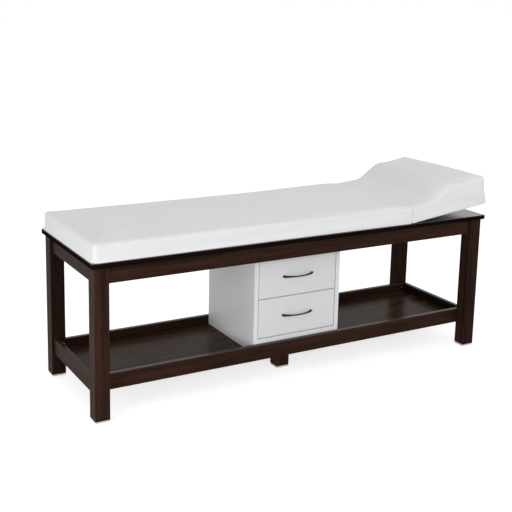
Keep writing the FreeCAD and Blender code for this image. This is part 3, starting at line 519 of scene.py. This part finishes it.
def ticks(low, high, low_room, high_room, step):
    """Places along one side: close together in the rounded ends, even between them."""
    shares = (0.0, 0.3, 0.55, 0.8, 1.0)
    first = [low + low_room * part for part in shares] if low_room else [low]
    last = [high - high_room * part for part in reversed(shares)] if high_room else [high]
    count = max(int(round((last[0] - first[-1]) / step)), 1)
    middle = [first[-1] + (last[0] - first[-1]) * i / count for i in range(1, count)]
    return sorted(set(first + middle + last))


def block_grid(xs, ys, zs):
    """Points and faces of a box whose six sides are divided at the given places."""
    points, faces, index = [], [], {}

    def at(i, j, k):
        key = (i, j, k)
        if key not in index:
            index[key] = len(points)
            points.append((xs[i], ys[j], zs[k]))
        return index[key]

    nx, ny, nz = len(xs) - 1, len(ys) - 1, len(zs) - 1
    for i in range(nx):
        for j in range(ny):
            faces.append((at(i, j, 0), at(i, j + 1, 0), at(i + 1, j + 1, 0), at(i + 1, j, 0)))
            faces.append((at(i, j, nz), at(i + 1, j, nz), at(i + 1, j + 1, nz), at(i, j + 1, nz)))
    for i in range(nx):
        for k in range(nz):
            faces.append((at(i, 0, k), at(i + 1, 0, k), at(i + 1, 0, k + 1), at(i, 0, k + 1)))
            faces.append((at(i, ny, k), at(i, ny, k + 1), at(i + 1, ny, k + 1), at(i + 1, ny, k)))
    for j in range(ny):
        for k in range(nz):
            faces.append((at(0, j, k), at(0, j, k + 1), at(0, j + 1, k + 1), at(0, j + 1, k)))
            faces.append((at(nx, j, k), at(nx, j + 1, k), at(nx, j + 1, k + 1), at(nx, j, k + 1)))
    return np.array(points), faces


def rounded(points, low, high, radii):
    """Box points moved onto rounded edges; radii has each point's radius along each axis."""
    core = np.clip(points, low + radii, high - radii)
    away = (points - core) / radii
    reach = np.abs(away).max(axis=1, keepdims=True)
    size = np.linalg.norm(away, axis=1, keepdims=True)
    return core + away * radii * np.where(size > 0, reach / np.maximum(size, 1e-12), 0.0)


FILL_FRAMES = 20
SEAM_CALM = 0.10


def fill_cover(piece, held, cap, pressure):
    """Lets pressure round the cover like filled upholstery, but not beside the seam."""
    before = read_points(piece)
    group = piece.vertex_groups.new(name="held")
    group.add([int(i) for i in np.flatnonzero(held)], 1.0, "REPLACE")
    cloth = piece.modifiers.new("cover", "CLOTH")
    cloth.point_cache.frame_start = 1
    cloth.point_cache.frame_end = FILL_FRAMES
    settings = cloth.settings
    settings.quality = 5
    settings.mass = 0.35
    settings.tension_stiffness = 22
    settings.compression_stiffness = 22
    settings.shear_stiffness = 8
    settings.bending_stiffness = 1.2
    settings.use_pressure = True
    settings.uniform_pressure_force = pressure
    settings.vertex_group_mass = "held"
    settings.effector_weights.gravity = 0.0
    cloth.collision_settings.use_collision = False
    scene = bpy.context.scene
    for number in range(1, FILL_FRAMES + 1):
        scene.frame_set(number)
    graph = bpy.context.evaluated_depsgraph_get()
    moved = read_points(piece.evaluated_get(graph)) - before
    piece.modifiers.remove(cloth)
    piece.vertex_groups.remove(group)
    scene.frame_set(1)
    size = np.linalg.norm(moved, axis=1, keepdims=True)
    kept = moved * np.minimum(1.0, cap / np.maximum(size, 1e-9))
    kept *= smooth_step(np.abs(before[:, :1] - HINGE_PLACE.x) / SEAM_CALM)
    write_points(piece, before + kept)


def subdivide(piece):
    """Adds one subdivision and applies it."""
    modifier = piece.modifiers.new("finer", "SUBSURF")
    modifier.levels = 1
    modifier.render_levels = 1
    graph = bpy.context.evaluated_depsgraph_get()
    mesh = bpy.data.meshes.new_from_object(piece.evaluated_get(graph))
    piece.modifiers.remove(modifier)
    old = piece.data
    piece.data = mesh
    bpy.data.meshes.remove(old)
    for face in piece.data.polygons:
        face.use_smooth = True


def normals_of(piece):
    """The piece's point normals as an array."""
    flat = np.zeros(len(piece.data.vertices) * 3)
    piece.data.vertex_normals.foreach_get("vector", flat)
    return flat.reshape(-1, 3)


def smooth_step(value):
    """0 to 1 with soft ends."""
    value = np.clip(value, 0.0, 1.0)
    return value * value * (3 - 2 * value)


# How far the covers stay inside the board's edges, and off the board and the seam
COVER_INSET = 0.001
HEAD_GAP = 0.0004
TOUCH_GAP = 0.0002
HALF_WIDTH = -BOARD_LOW.y - COVER_INSET
MAIN_TOP = 0.0775
# Sides and rounded corners, and how the ends at the seam turn in
WAIST = 0.0022
CORNER_RADIUS = 0.025
END_ROOM = 0.007
SIDE_TURN_IN = 0.16
TOP_TURN_IN = 0.12
LOW_CORNER_LIFT = 0.9
# The underside, and the parts of a cover that stay where they are while it fills
BASE_INSET = 0.012
BASE_EDGE = 0.0005
BASE_HALF = BASE_HIGH.y - BASE_EDGE
HIDDEN_RISE = 0.0145
HELD_HEIGHT = 0.006
HELD_DEPTH = 0.0005
# Crowned tops
MAIN_CROWN = 0.0028
HEAD_CROWN = 0.0025
PILLOW_CROWN = 0.003
PILLOW_SLOPE = 0.001
# Sewn seams
SEAM_LINE = 0.62
SEAM_REACH = 0.0022
PUCKER_DEPTH = 0.0009
PUCKER_SIZE = 0.016
PUCKER_SHIFT = Vector((4.0, 8.0, 12.0))


def pucker(points):
    """A slow wave height for each point, the same on each run."""
    waves = [noise.noise(Vector(point) / PUCKER_SIZE + PUCKER_SHIFT) for point in points]
    return np.array(waves) * PUCKER_DEPTH


def draw_in_seams(piece, distances, depth):
    """Draws the cover in along sewn lines; distances is each point's distance to its seam."""
    points = read_points(piece)
    groove = np.exp(-(distances / SEAM_REACH) ** 2) * depth
    near = np.exp(-(distances / (SEAM_REACH * 6)) ** 2)
    inwards = groove + pucker(points) * near
    write_points(piece, points - normals_of(piece) * inwards[:, None])


def block_cushion(low, high, top, radius, step, seam_end):
    """A cushion's points and faces in its own flat frame, with one square end at the seam."""
    seam_high = seam_end == "high"
    xs = ticks(low, high, radius if seam_high else END_ROOM,
               END_ROOM if seam_high else radius, step)
    ys = ticks(-HALF_WIDTH, HALF_WIDTH, radius, radius, step)
    zs = ticks(0.0, top, 0.0, radius, step)
    points, faces = block_grid(xs, ys, zs)
    far = 10.0
    outer_low = np.array([low if seam_high else -far, -HALF_WIDTH, -far])
    outer_high = np.array([far if seam_high else high, HALF_WIDTH, top])
    radii = np.tile([CORNER_RADIUS, CORNER_RADIUS, radius], (len(points), 1))
    return rounded(points, outer_low, outer_high, radii), faces


def raise_underside(points, x_low, x_high):
    """Lifts the middle of the underside into the plywood, so only a rim of cover shows."""
    inside = ((points[:, 2] < 1e-6) & (points[:, 0] > x_low)
              & (points[:, 0] < x_high) & (np.abs(points[:, 1]) < BASE_HALF))
    points[inside, 2] += HIDDEN_RISE


def draw_in_sides(points, share_along):
    """Draws both sides in a little between the cushion's ends."""
    fullness = np.sin(math.pi * np.clip(share_along, 0, 1))
    points[:, 1] *= 1.0 - WAIST * fullness / HALF_WIDTH


def crown(points, top, height):
    """Raises the cushion's top towards its middle line."""
    middle = 1 - (points[:, 1] / HALF_WIDTH) ** 2
    points[:, 2] += np.where(points[:, 2] > top * 0.5, height * middle, 0.0)


def ease_seam_end(points, end, top):
    """Turns a cushion's square end in a little, and lifts its lower corners off the board."""
    share = np.clip(1.0 - np.abs(points[:, 0] - end) / END_ROOM, 0.0, 1.0)
    drawn = END_ROOM * (1.0 - np.sqrt(1.0 - share ** 2))
    points[:, 1] *= 1.0 - drawn * SIDE_TURN_IN / HALF_WIDTH
    points[:, 2] *= 1.0 - drawn * TOP_TURN_IN / top
    rim = smooth_step((np.abs(points[:, 1]) - HALF_WIDTH + 0.03) / 0.02)
    near_base = smooth_step(1.0 - points[:, 2] / 0.02)
    points[:, 2] += drawn * LOW_CORNER_LIFT * rim * near_base


def seam_distances(points, end, top, radius):
    """Distance from each point to the sewn lines: round the top and down the corners.

    The given end is each point's distance to the cushion's closed end.
    """
    side = HALF_WIDTH - np.abs(points[:, 1])
    upper = points[:, 2] > top - radius * 1.6
    near_corner = np.maximum(side, end) < CORNER_RADIUS
    round_corner = CORNER_RADIUS - np.hypot(CORNER_RADIUS - side, CORNER_RADIUS - end)
    inner = np.where(near_corner, round_corner, np.minimum(side, end))
    round_top = np.where(upper, np.abs(inner - radius * SEAM_LINE), 1.0)
    down_corner = np.where(near_corner, np.abs(side - end) * 0.707 + SEAM_REACH, 1.0)
    return np.minimum(round_top, down_corner)


def white_cover(given):
    """The cushions' shared cover, made the first time it is asked for."""
    return bpy.data.materials.get("White cover") or cover_material("White cover", given.cover)


class BED_OT_wood(bpy.types.Operator):
    """Stains the legs, aprons, rails, feet and boards, with painted shade on the rear and head-end
    pieces
    """
    bl_idname = "bed.finish_wood"
    bl_label = "Wooden frame"

    def execute(self, context):
        finish = context.scene.bed_finish
        dark, light = finish.wood_dark, finish.wood_light
        painted_shade = finish.painted_rear_shade
        # Painted shade: darker copies of the stain for the pieces at the back and at the head end.
        painted_shade_dark, painted_shade_light = scaled(dark, painted_shade), scaled(light, painted_shade)
        gloss = finish.rail_gloss
        upright = wood_material("Espresso wood, upright", "z", dark, light)
        lengthwise = wood_material("Espresso wood, lengthwise", "x", dark, light,
                                   contrast=0.9, coat=gloss)
        crosswise = wood_material("Espresso wood, crosswise", "y", dark, light,
                                  contrast=0.9, coat=gloss * 0.35)
        painted_shade_upright = wood_material("Rear wood with painted shade, upright", "z", painted_shade_dark, painted_shade_light)
        painted_shade_lengthwise = wood_material("Rear wood with painted shade, lengthwise", "x", painted_shade_dark, painted_shade_light,
                                        contrast=0.9, coat=gloss)
        # Painted shade applied twice for the head-end crosswise pieces, which stand in deeper shade.
        painted_shade_crosswise = wood_material("Rear wood with painted shade, crosswise", "y", scaled(painted_shade_dark, painted_shade),
                                       scaled(painted_shade_light, painted_shade), contrast=0.9, coat=gloss)
        board = wood_material("Lacquered board", "x", finish.board_dark, finish.board_light,
                              painted_highlight_gain=1.2, coat=finish.gloss, specular=0.0)
        shelf = wood_material("Shelf board", "x", finish.shelf_dark, finish.shelf_light,
                              contrast=1.2, rough_shift=-0.16, specular=0.035,
                              sheen=(1.0, 0.80, 0.68))
        finish_nodes(nodes_named("leg_front", "centre_foot"), upright)
        # The rear legs, rails and aprons and the head-end pieces get the copies with painted shade.
        finish_nodes(nodes_named("leg_rear"), painted_shade_upright)
        finish_nodes(["apron_front", "tray_rail_front"], lengthwise)
        finish_nodes(["apron_rear", "tray_rail_rear"], painted_shade_lengthwise)
        finish_nodes(["apron_foot_end", "tray_rail_foot_end"], crosswise)
        finish_nodes(["apron_head_end", "tray_rail_head_end", "cross_bearers"], painted_shade_crosswise)
        finish_nodes(["top_board"], board)
        finish_nodes(["tray_board"], shelf)
        return {"FINISHED"}


class BED_OT_cabinet(bpy.types.Operator):
    """Covers the cabinet and the drawers with laminate"""
    bl_idname = "bed.finish_cabinet"
    bl_label = "Drawer cabinet"

    def execute(self, context):
        finish = context.scene.bed_finish
        carcass = laminate_material("White laminate", finish.carcass)
        fronts = laminate_material("Drawer front laminate", finish.fronts)
        faces = [name for name in NODES if name.endswith("drawer_face")]
        panels = [name for name in NODES if "_drawer_" in name or name.startswith("cabinet_")]
        finish_nodes([name for name in panels if name not in faces
                      and name != "cabinet_screws"], carcass)
        finish_nodes(faces, fronts)
        return {"FINISHED"}


class BED_OT_fittings(bpy.types.Operator):
    """Plates the fasteners, slides, hinges and stays, and finishes bases and glides"""
    bl_idname = "bed.finish_fittings"
    bl_label = "Fittings, bases and glides"

    def execute(self, context):
        finish = context.scene.bed_finish
        zinc = metal_material("Zinc-plated steel", finish.steel, 0.30, 0.6)
        finish_nodes([name for name in NODES
                      if "screws" in name or "slide_" in name or "cages" in name
                      or name.startswith(("corner_", "hinge_", "stay_"))], zinc)
        finish_nodes(["main_base", "head_base"], plywood_material("Birch plywood",
                                                                  finish.plywood))
        finish_nodes(["glides"], plastic_material("Glide plastic", finish.glide))
        return {"FINISHED"}


# The bow handles: mesh steps, the bar's half sizes in its middle and at its ends, the posts
HANDLE_STEPS = 40
HANDLE_ROUND = 20
BOW_SHARE = 0.985
BAR_DEPTH = 0.0026
BAR_HEIGHT = 0.0028
BAR_END_HEIGHT = 0.0062
POST_INSET = 0.012


def ring_points(centre, first, second):
    """A ring of points round a centre, with two half axes."""
    turns = [2 * math.pi * number / HANDLE_ROUND for number in range(HANDLE_ROUND)]
    return [centre + first * math.cos(turn) + second * math.sin(turn) for turn in turns]


def ring_faces(start, rings):
    """Faces that join rings of points one after the other, and close both ends."""
    faces = []
    last = start + (rings - 1) * HANDLE_ROUND
    for row in range(start, last, HANDLE_ROUND):
        for number in range(HANDLE_ROUND):
            after = (number + 1) % HANDLE_ROUND
            faces.append((row + number, row + after, row + HANDLE_ROUND + after,
                          row + HANDLE_ROUND + number))
    faces.append(tuple(range(start, start + HANDLE_ROUND)))
    faces.append(tuple(reversed(range(last, last + HANDLE_ROUND))))
    return faces


def handle_mesh(low, high):
    """A swept bow whose oval section is tallest near its ends, and two flared posts."""
    half = (high.x - low.x) / 2
    face = high.y
    bow = face - low.y
    radius = (half * half + bow * bow) / 2 / bow
    half_angle = math.asin(half / radius) * BOW_SHARE
    centre = Vector(((high.x + low.x) / 2, low.y + radius, (high.z + low.z) / 2))
    points = []
    for step in range(HANDLE_STEPS + 1):
        along = step / HANDLE_STEPS * 2 - 1
        angle = half_angle * along
        full = math.sqrt(max(1.0 - abs(along) ** 6, 0.0)) * 0.75 + 0.25
        tall = BAR_HEIGHT + (BAR_END_HEIGHT - BAR_HEIGHT) * along * along
        tall *= 0.6 + 0.4 * full
        out = Vector((math.sin(angle), -math.cos(angle), 0.0))
        core = centre + out * (radius - BAR_DEPTH - 0.0001)
        points += ring_points(core, out * BAR_DEPTH * full, Vector((0, 0, tall)))
    faces = ring_faces(0, HANDLE_STEPS + 1)
    reach = half - POST_INSET
    rise = math.sqrt(radius ** 2 - reach ** 2) - (radius - bow)
    flare = [(0.0, 0.0055), (0.0010, 0.0052), (0.0026, 0.0042), (rise * 0.6, 0.0036),
             (rise - 0.0030, 0.0040)]
    for side in (-1, 1):
        faces += ring_faces(len(points), len(flare))
        for distance, thick in flare:
            foot = Vector((centre.x + side * reach, face - distance, centre.z))
            points += ring_points(foot, Vector((thick, 0, 0)), Vector((0, 0, thick)))
    return points, faces


def outward(piece):
    """Turns every face outwards."""
    shape = bmesh.new()
    shape.from_mesh(piece.data)
    bmesh.ops.recalc_face_normals(shape, faces=shape.faces)
    shape.to_mesh(piece.data)
    shape.free()
    piece.data.update()


class BED_OT_handles(bpy.types.Operator):
    """Makes the two bow handles"""
    bl_idname = "bed.handles"
    bl_label = "Bow handles"

    def execute(self, context):
        finish = context.scene.bed_finish
        chrome = metal_material("Dark chrome", finish.chrome, 0.14, 0.2)
        for name in ("upper", "lower"):
            low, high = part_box(name + "_handle")
            high.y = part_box(name + "_drawer_face")[0].y
            points, faces = handle_mesh(low, high)
            piece = new_piece(name + "_bow_handle", points, faces, chrome)
            outward(piece)
            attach(piece, name + "_drawer")
            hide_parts(name + "_handle")
        return {"FINISHED"}


class BED_OT_main_cushion(bpy.types.Operator):
    """Makes the long cushion, fills its cover and sews its seams"""
    bl_idname = "bed.main_cushion"
    bl_label = "Main cushion"

    def execute(self, context):
        given = context.scene.bed_cushion
        radius = given.edge_radius
        low, high = BOARD_LOW.x + COVER_INSET, MAIN_HIGH.x
        points, faces = block_cushion(low, high, MAIN_TOP, radius, given.grid_step, "high")
        raise_underside(points, BASE_LOW.x + BASE_EDGE, high + 1.0)
        draw_in_sides(points, (points[:, 0] - low) / (high - low))
        crown(points, MAIN_TOP, MAIN_CROWN)
        ease_seam_end(points, high, MAIN_TOP)
        points[:, 2] += BOARD_TOP
        piece = new_piece("main_cushion_cover", points, faces, white_cover(given))
        held = ((points[:, 2] < BOARD_TOP + HELD_HEIGHT)
                | (points[:, 0] > high - HELD_DEPTH))
        fill_cover(piece, held, given.swell_cap, given.pressure)
        subdivide(piece)
        flat = read_points(piece)
        flat[:, 2] -= BOARD_TOP
        distances = seam_distances(flat, flat[:, 0] - low, MAIN_TOP, radius)
        draw_in_seams(piece, distances, given.seam_groove)
        points = read_points(piece)
        points[:, 0] = np.minimum(points[:, 0], high)
        points[:, 2] = np.maximum(points[:, 2], BOARD_TOP + TOUCH_GAP)
        write_points(piece, points)
        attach(piece, "frame")
        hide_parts("main_cushion")
        return {"FINISHED"}


def head_rise(distance, given):
    """How far the head cushion's top stands over its low part."""
    share_up = smooth_step((distance - given.hump_start) / (given.hump_end - given.hump_start))
    after = np.clip((distance - given.hump_end) / (given.head_length - given.hump_end), 0, 1)
    return given.hump_rise * share_up + PILLOW_SLOPE * np.sin(after * math.pi / 2)


BEND_LENGTH = 0.060
HEAD_UNDERSIDE = -0.0029


def tilted(points):
    """Head section points from their flat frame to the rest pose, upright at the seam."""
    away = points[:, 0]
    height = points[:, 2] + HEAD_UNDERSIDE
    turn = REST_TILT * smooth_step(away / BEND_LENGTH)
    placed = points.copy()
    placed[:, 0] = HINGE_PLACE.x + away * math.cos(REST_TILT) - height * np.sin(turn)
    placed[:, 2] = HINGE_PLACE.z + away * math.sin(REST_TILT) + height * np.cos(turn)
    return placed


def levelled(placed):
    """Head section points from the rest pose back to their flat frame."""
    away = placed - np.array(HINGE_PLACE)
    cos, sin = math.cos(REST_TILT), math.sin(REST_TILT)
    flat = placed.copy()
    flat[:, 0] = away[:, 0] * cos + away[:, 2] * sin
    flat[:, 2] = away[:, 2] * cos - away[:, 0] * sin - HEAD_UNDERSIDE
    return flat


class BED_OT_head_cushion(bpy.types.Operator):
    """Makes the head cushion with its raised pillow, bent at the seam into the rest pose"""
    bl_idname = "bed.head_cushion"
    bl_label = "Head cushion"

    def execute(self, context):
        given = context.scene.bed_cushion
        radius = given.edge_radius
        low, high = HEAD_GAP, given.head_length - COVER_INSET
        top = given.head_low
        points, faces = block_cushion(low, high, top, radius, given.grid_step, "low")
        raise_underside(points, -1.0, high - BASE_INSET - BASE_EDGE)
        draw_in_sides(points, points[:, 0] / high)
        rise = head_rise(points[:, 0], given)
        reach = top - radius - HELD_HEIGHT
        lifted = np.clip((points[:, 2] - HELD_HEIGHT) / reach, 0.0, 1.0) * rise
        crown(points, top, HEAD_CROWN + PILLOW_CROWN * rise / given.hump_rise)
        points[:, 2] += lifted
        ease_seam_end(points, low, top)
        piece = new_piece("head_cushion_cover", tilted(points), faces, white_cover(given))
        held = (points[:, 2] < HELD_HEIGHT) | (points[:, 0] < low + HELD_DEPTH)
        fill_cover(piece, held, given.swell_cap, given.pressure)
        subdivide(piece)
        level = levelled(read_points(piece))
        level[:, 2] -= head_rise(level[:, 0], given)
        distances = seam_distances(level, high - level[:, 0], top, radius)
        draw_in_seams(piece, distances, given.seam_groove)
        points = read_points(piece)
        points[:, 0] = np.maximum(points[:, 0], HINGE_PLACE.x + TOUCH_GAP)
        write_points(piece, points)
        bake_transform(piece)
        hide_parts("head_cushion", "head_cushion_fold")
        return {"FINISHED"}


# The stage: the camera that matches the photograph's view, the low lamp and the floor
CAMERA_PLACE = (-2.1214, -3.4823, 1.6164)
CAMERA_YAW = 0.52416
CAMERA_PITCH = -0.19502
CAMERA_ROLL = 0.02239
CAMERA_SHIFT = -0.1484
LOW_LAMP_SPREAD = math.radians(12.0)
FLOOR_REACH = 40.0
FLOOR_GAP = 0.0002


def camera_turn():
    """The camera's rotation from its yaw, pitch and roll."""
    yaw, pitch, roll = CAMERA_YAW, CAMERA_PITCH, CAMERA_ROLL
    ahead = Vector((math.sin(yaw) * math.cos(pitch), math.cos(yaw) * math.cos(pitch),
                    math.sin(pitch)))
    right = Vector((math.cos(yaw), -math.sin(yaw), 0.0))
    above = right.cross(ahead)
    right, above = (right * math.cos(roll) + above * math.sin(roll),
                    above * math.cos(roll) - right * math.sin(roll))
    return Matrix((right, above, -ahead)).transposed()


def seen_white(sheet):
    """1 where the camera or a shiny surface looks, and 0 for light on other things."""
    path = sheet.add("ShaderNodeLightPath").outputs
    return sheet.maths("MAXIMUM", path["Is Camera Ray"], path["Is Glossy Ray"])


def hang_lamp(name, place, target, size, power, spread=math.pi):
    """A rectangular soft lamp that faces a target and that the camera doesn't see."""
    light = bpy.data.lights.new(name, "AREA")
    light.shape = "RECTANGLE"
    light.size, light.size_y = size
    light.energy = power
    light.spread = spread
    lamp = bpy.data.objects.new(name, light)
    lamp.location = place
    lamp.rotation_euler = (Vector(target) - Vector(place)).to_track_quat("-Z", "Y").to_euler()
    lamp.visible_camera = False
    bpy.context.scene.collection.objects.link(lamp)


def lay_floor(given):
    """A pale floor that shows white, keeps the shadow and isn't seen from below."""
    material, sheet, shader = new_material("Studio floor", Roughness=0.9,
                                           Specular_IOR_Level=0.0)
    tone = sheet.ranged(sheet.noise(place_on_piece(sheet), 3.0, 3.0), 0.3, 0.7, 0.98, 1.0)
    grey = sheet.add("ShaderNodeCombineColor", {0: tone, 1: tone, 2: tone}).outputs[0]
    sheet.put(shader, "Base Color", sheet.mixed(1.0, solid(given.floor), grey, "MULTIPLY"))
    sheet.put(shader, "Emission Color", grey)
    sheet.put(shader, "Emission Strength", sheet.maths("MULTIPLY", seen_white(sheet), given.lift))
    below = sheet.add("ShaderNodeNewGeometry").outputs["Backfacing"]
    sheet.put(shader, "Alpha", sheet.maths("SUBTRACT", 1.0, below))
    far = FLOOR_REACH
    corners = [(-far, -far, 0), (far, -far, 0), (far, far, 0), (-far, far, 0)]
    floor = new_piece("studio_floor", corners, [(0, 1, 2, 3)], material, False)
    floor.location.z = -FLOOR_GAP


def light_room(given):
    """Even light from all round, and plain white where the camera looks past the bed."""
    world = bpy.data.worlds.new("Studio")
    bpy.context.scene.world = world
    world.use_nodes = True
    room = Sheet(world.node_tree)
    background = world.node_tree.nodes["Background"]
    background.inputs["Color"].default_value = (1.0, 1.0, 1.0, 1.0)
    strength = room.add("ShaderNodeMix", data_type="FLOAT")
    room.put(strength, 0, seen_white(room))
    room.put(strength, 2, given.sky)
    room.put(strength, 3, 1.0)
    room.put(background, "Strength", strength.outputs[0])


def set_camera(given):
    """The camera at the photograph's place."""
    scene = bpy.context.scene
    lens = bpy.data.cameras.new("photo_camera")
    lens.lens = given.lens
    lens.sensor_width = 36.0
    lens.shift_y = CAMERA_SHIFT
    camera = bpy.data.objects.new("photo_camera", lens)
    camera.matrix_world = Matrix.Translation(CAMERA_PLACE) @ camera_turn().to_4x4()
    scene.collection.objects.link(camera)
    scene.camera = camera
    scene.view_settings.view_transform = "Standard"


class BED_OT_stage(bpy.types.Operator):
    """Sets the floor, the lamps, the room light and the camera"""
    bl_idname = "bed.stage"
    bl_label = "Stage and camera"

    def execute(self, context):
        given = context.scene.bed_stage
        lay_floor(given)
        light_room(given)
        hang_lamp("main_lamp", (-0.2, -4.6, 1.9), (0.0, 0.0, 0.45), (3.8, 2.0), given.key)
        hang_lamp("foot_end_lamp", (-2.4, -1.0, 0.34), (-0.5, 0.0, 0.34), (0.9, 0.5),
                  given.fill)
        hang_lamp("low_lamp", (-2.3, -1.2, 0.30), (-0.18, 0.0, 0.12), (0.3, 0.2),
                  given.low, LOW_LAMP_SPREAD)
        set_camera(given)
        return {"FINISHED"}


class BED_PT_pieces(bpy.types.Panel):
    """Lists the bed's pieces in the sidebar"""
    bl_idname = "BED_PT_pieces"
    bl_label = "Treatment bed"
    bl_space_type = "VIEW_3D"
    bl_region_type = "UI"
    bl_category = "Treatment bed"

    def draw(self, context):
        for settings in (context.scene.bed_cushion, context.scene.bed_finish,
                         context.scene.bed_stage):
            box = self.layout.box()
            for key in settings.bl_rna.properties.keys():
                if key not in ("rna_type", "name"):
                    box.prop(settings, key)
        for operator in OPERATORS:
            self.layout.operator(operator.bl_idname)


SETTINGS = {
    "bed_cushion": BedCushionSettings,
    "bed_finish": BedFinishSettings,
    "bed_stage": BedStageSettings,
}
OPERATORS = (BED_OT_stage, BED_OT_wood, BED_OT_cabinet, BED_OT_fittings, BED_OT_handles,
             BED_OT_main_cushion, BED_OT_head_cushion)


def register():
    """Adds the settings, the operators and the panel."""
    for name, settings in SETTINGS.items():
        bpy.utils.register_class(settings)
        setattr(bpy.types.Scene, name, bpy.props.PointerProperty(type=settings))
    for kind in (*OPERATORS, BED_PT_pieces):
        bpy.utils.register_class(kind)


def unregister():
    """Takes them away again."""
    for kind in (BED_PT_pieces, *reversed(OPERATORS)):
        bpy.utils.unregister_class(kind)
    for name, settings in SETTINGS.items():
        delattr(bpy.types.Scene, name)
        bpy.utils.unregister_class(settings)


def main():
    """Dresses the bed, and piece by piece."""
    register()
    for operator in OPERATORS:
        group, name = operator.bl_idname.split(".")
        if getattr(getattr(bpy.ops, group), name)() != {"FINISHED"}:
            raise RuntimeError(operator.bl_label + " could not be made")


if __name__ == "__main__":
    main()
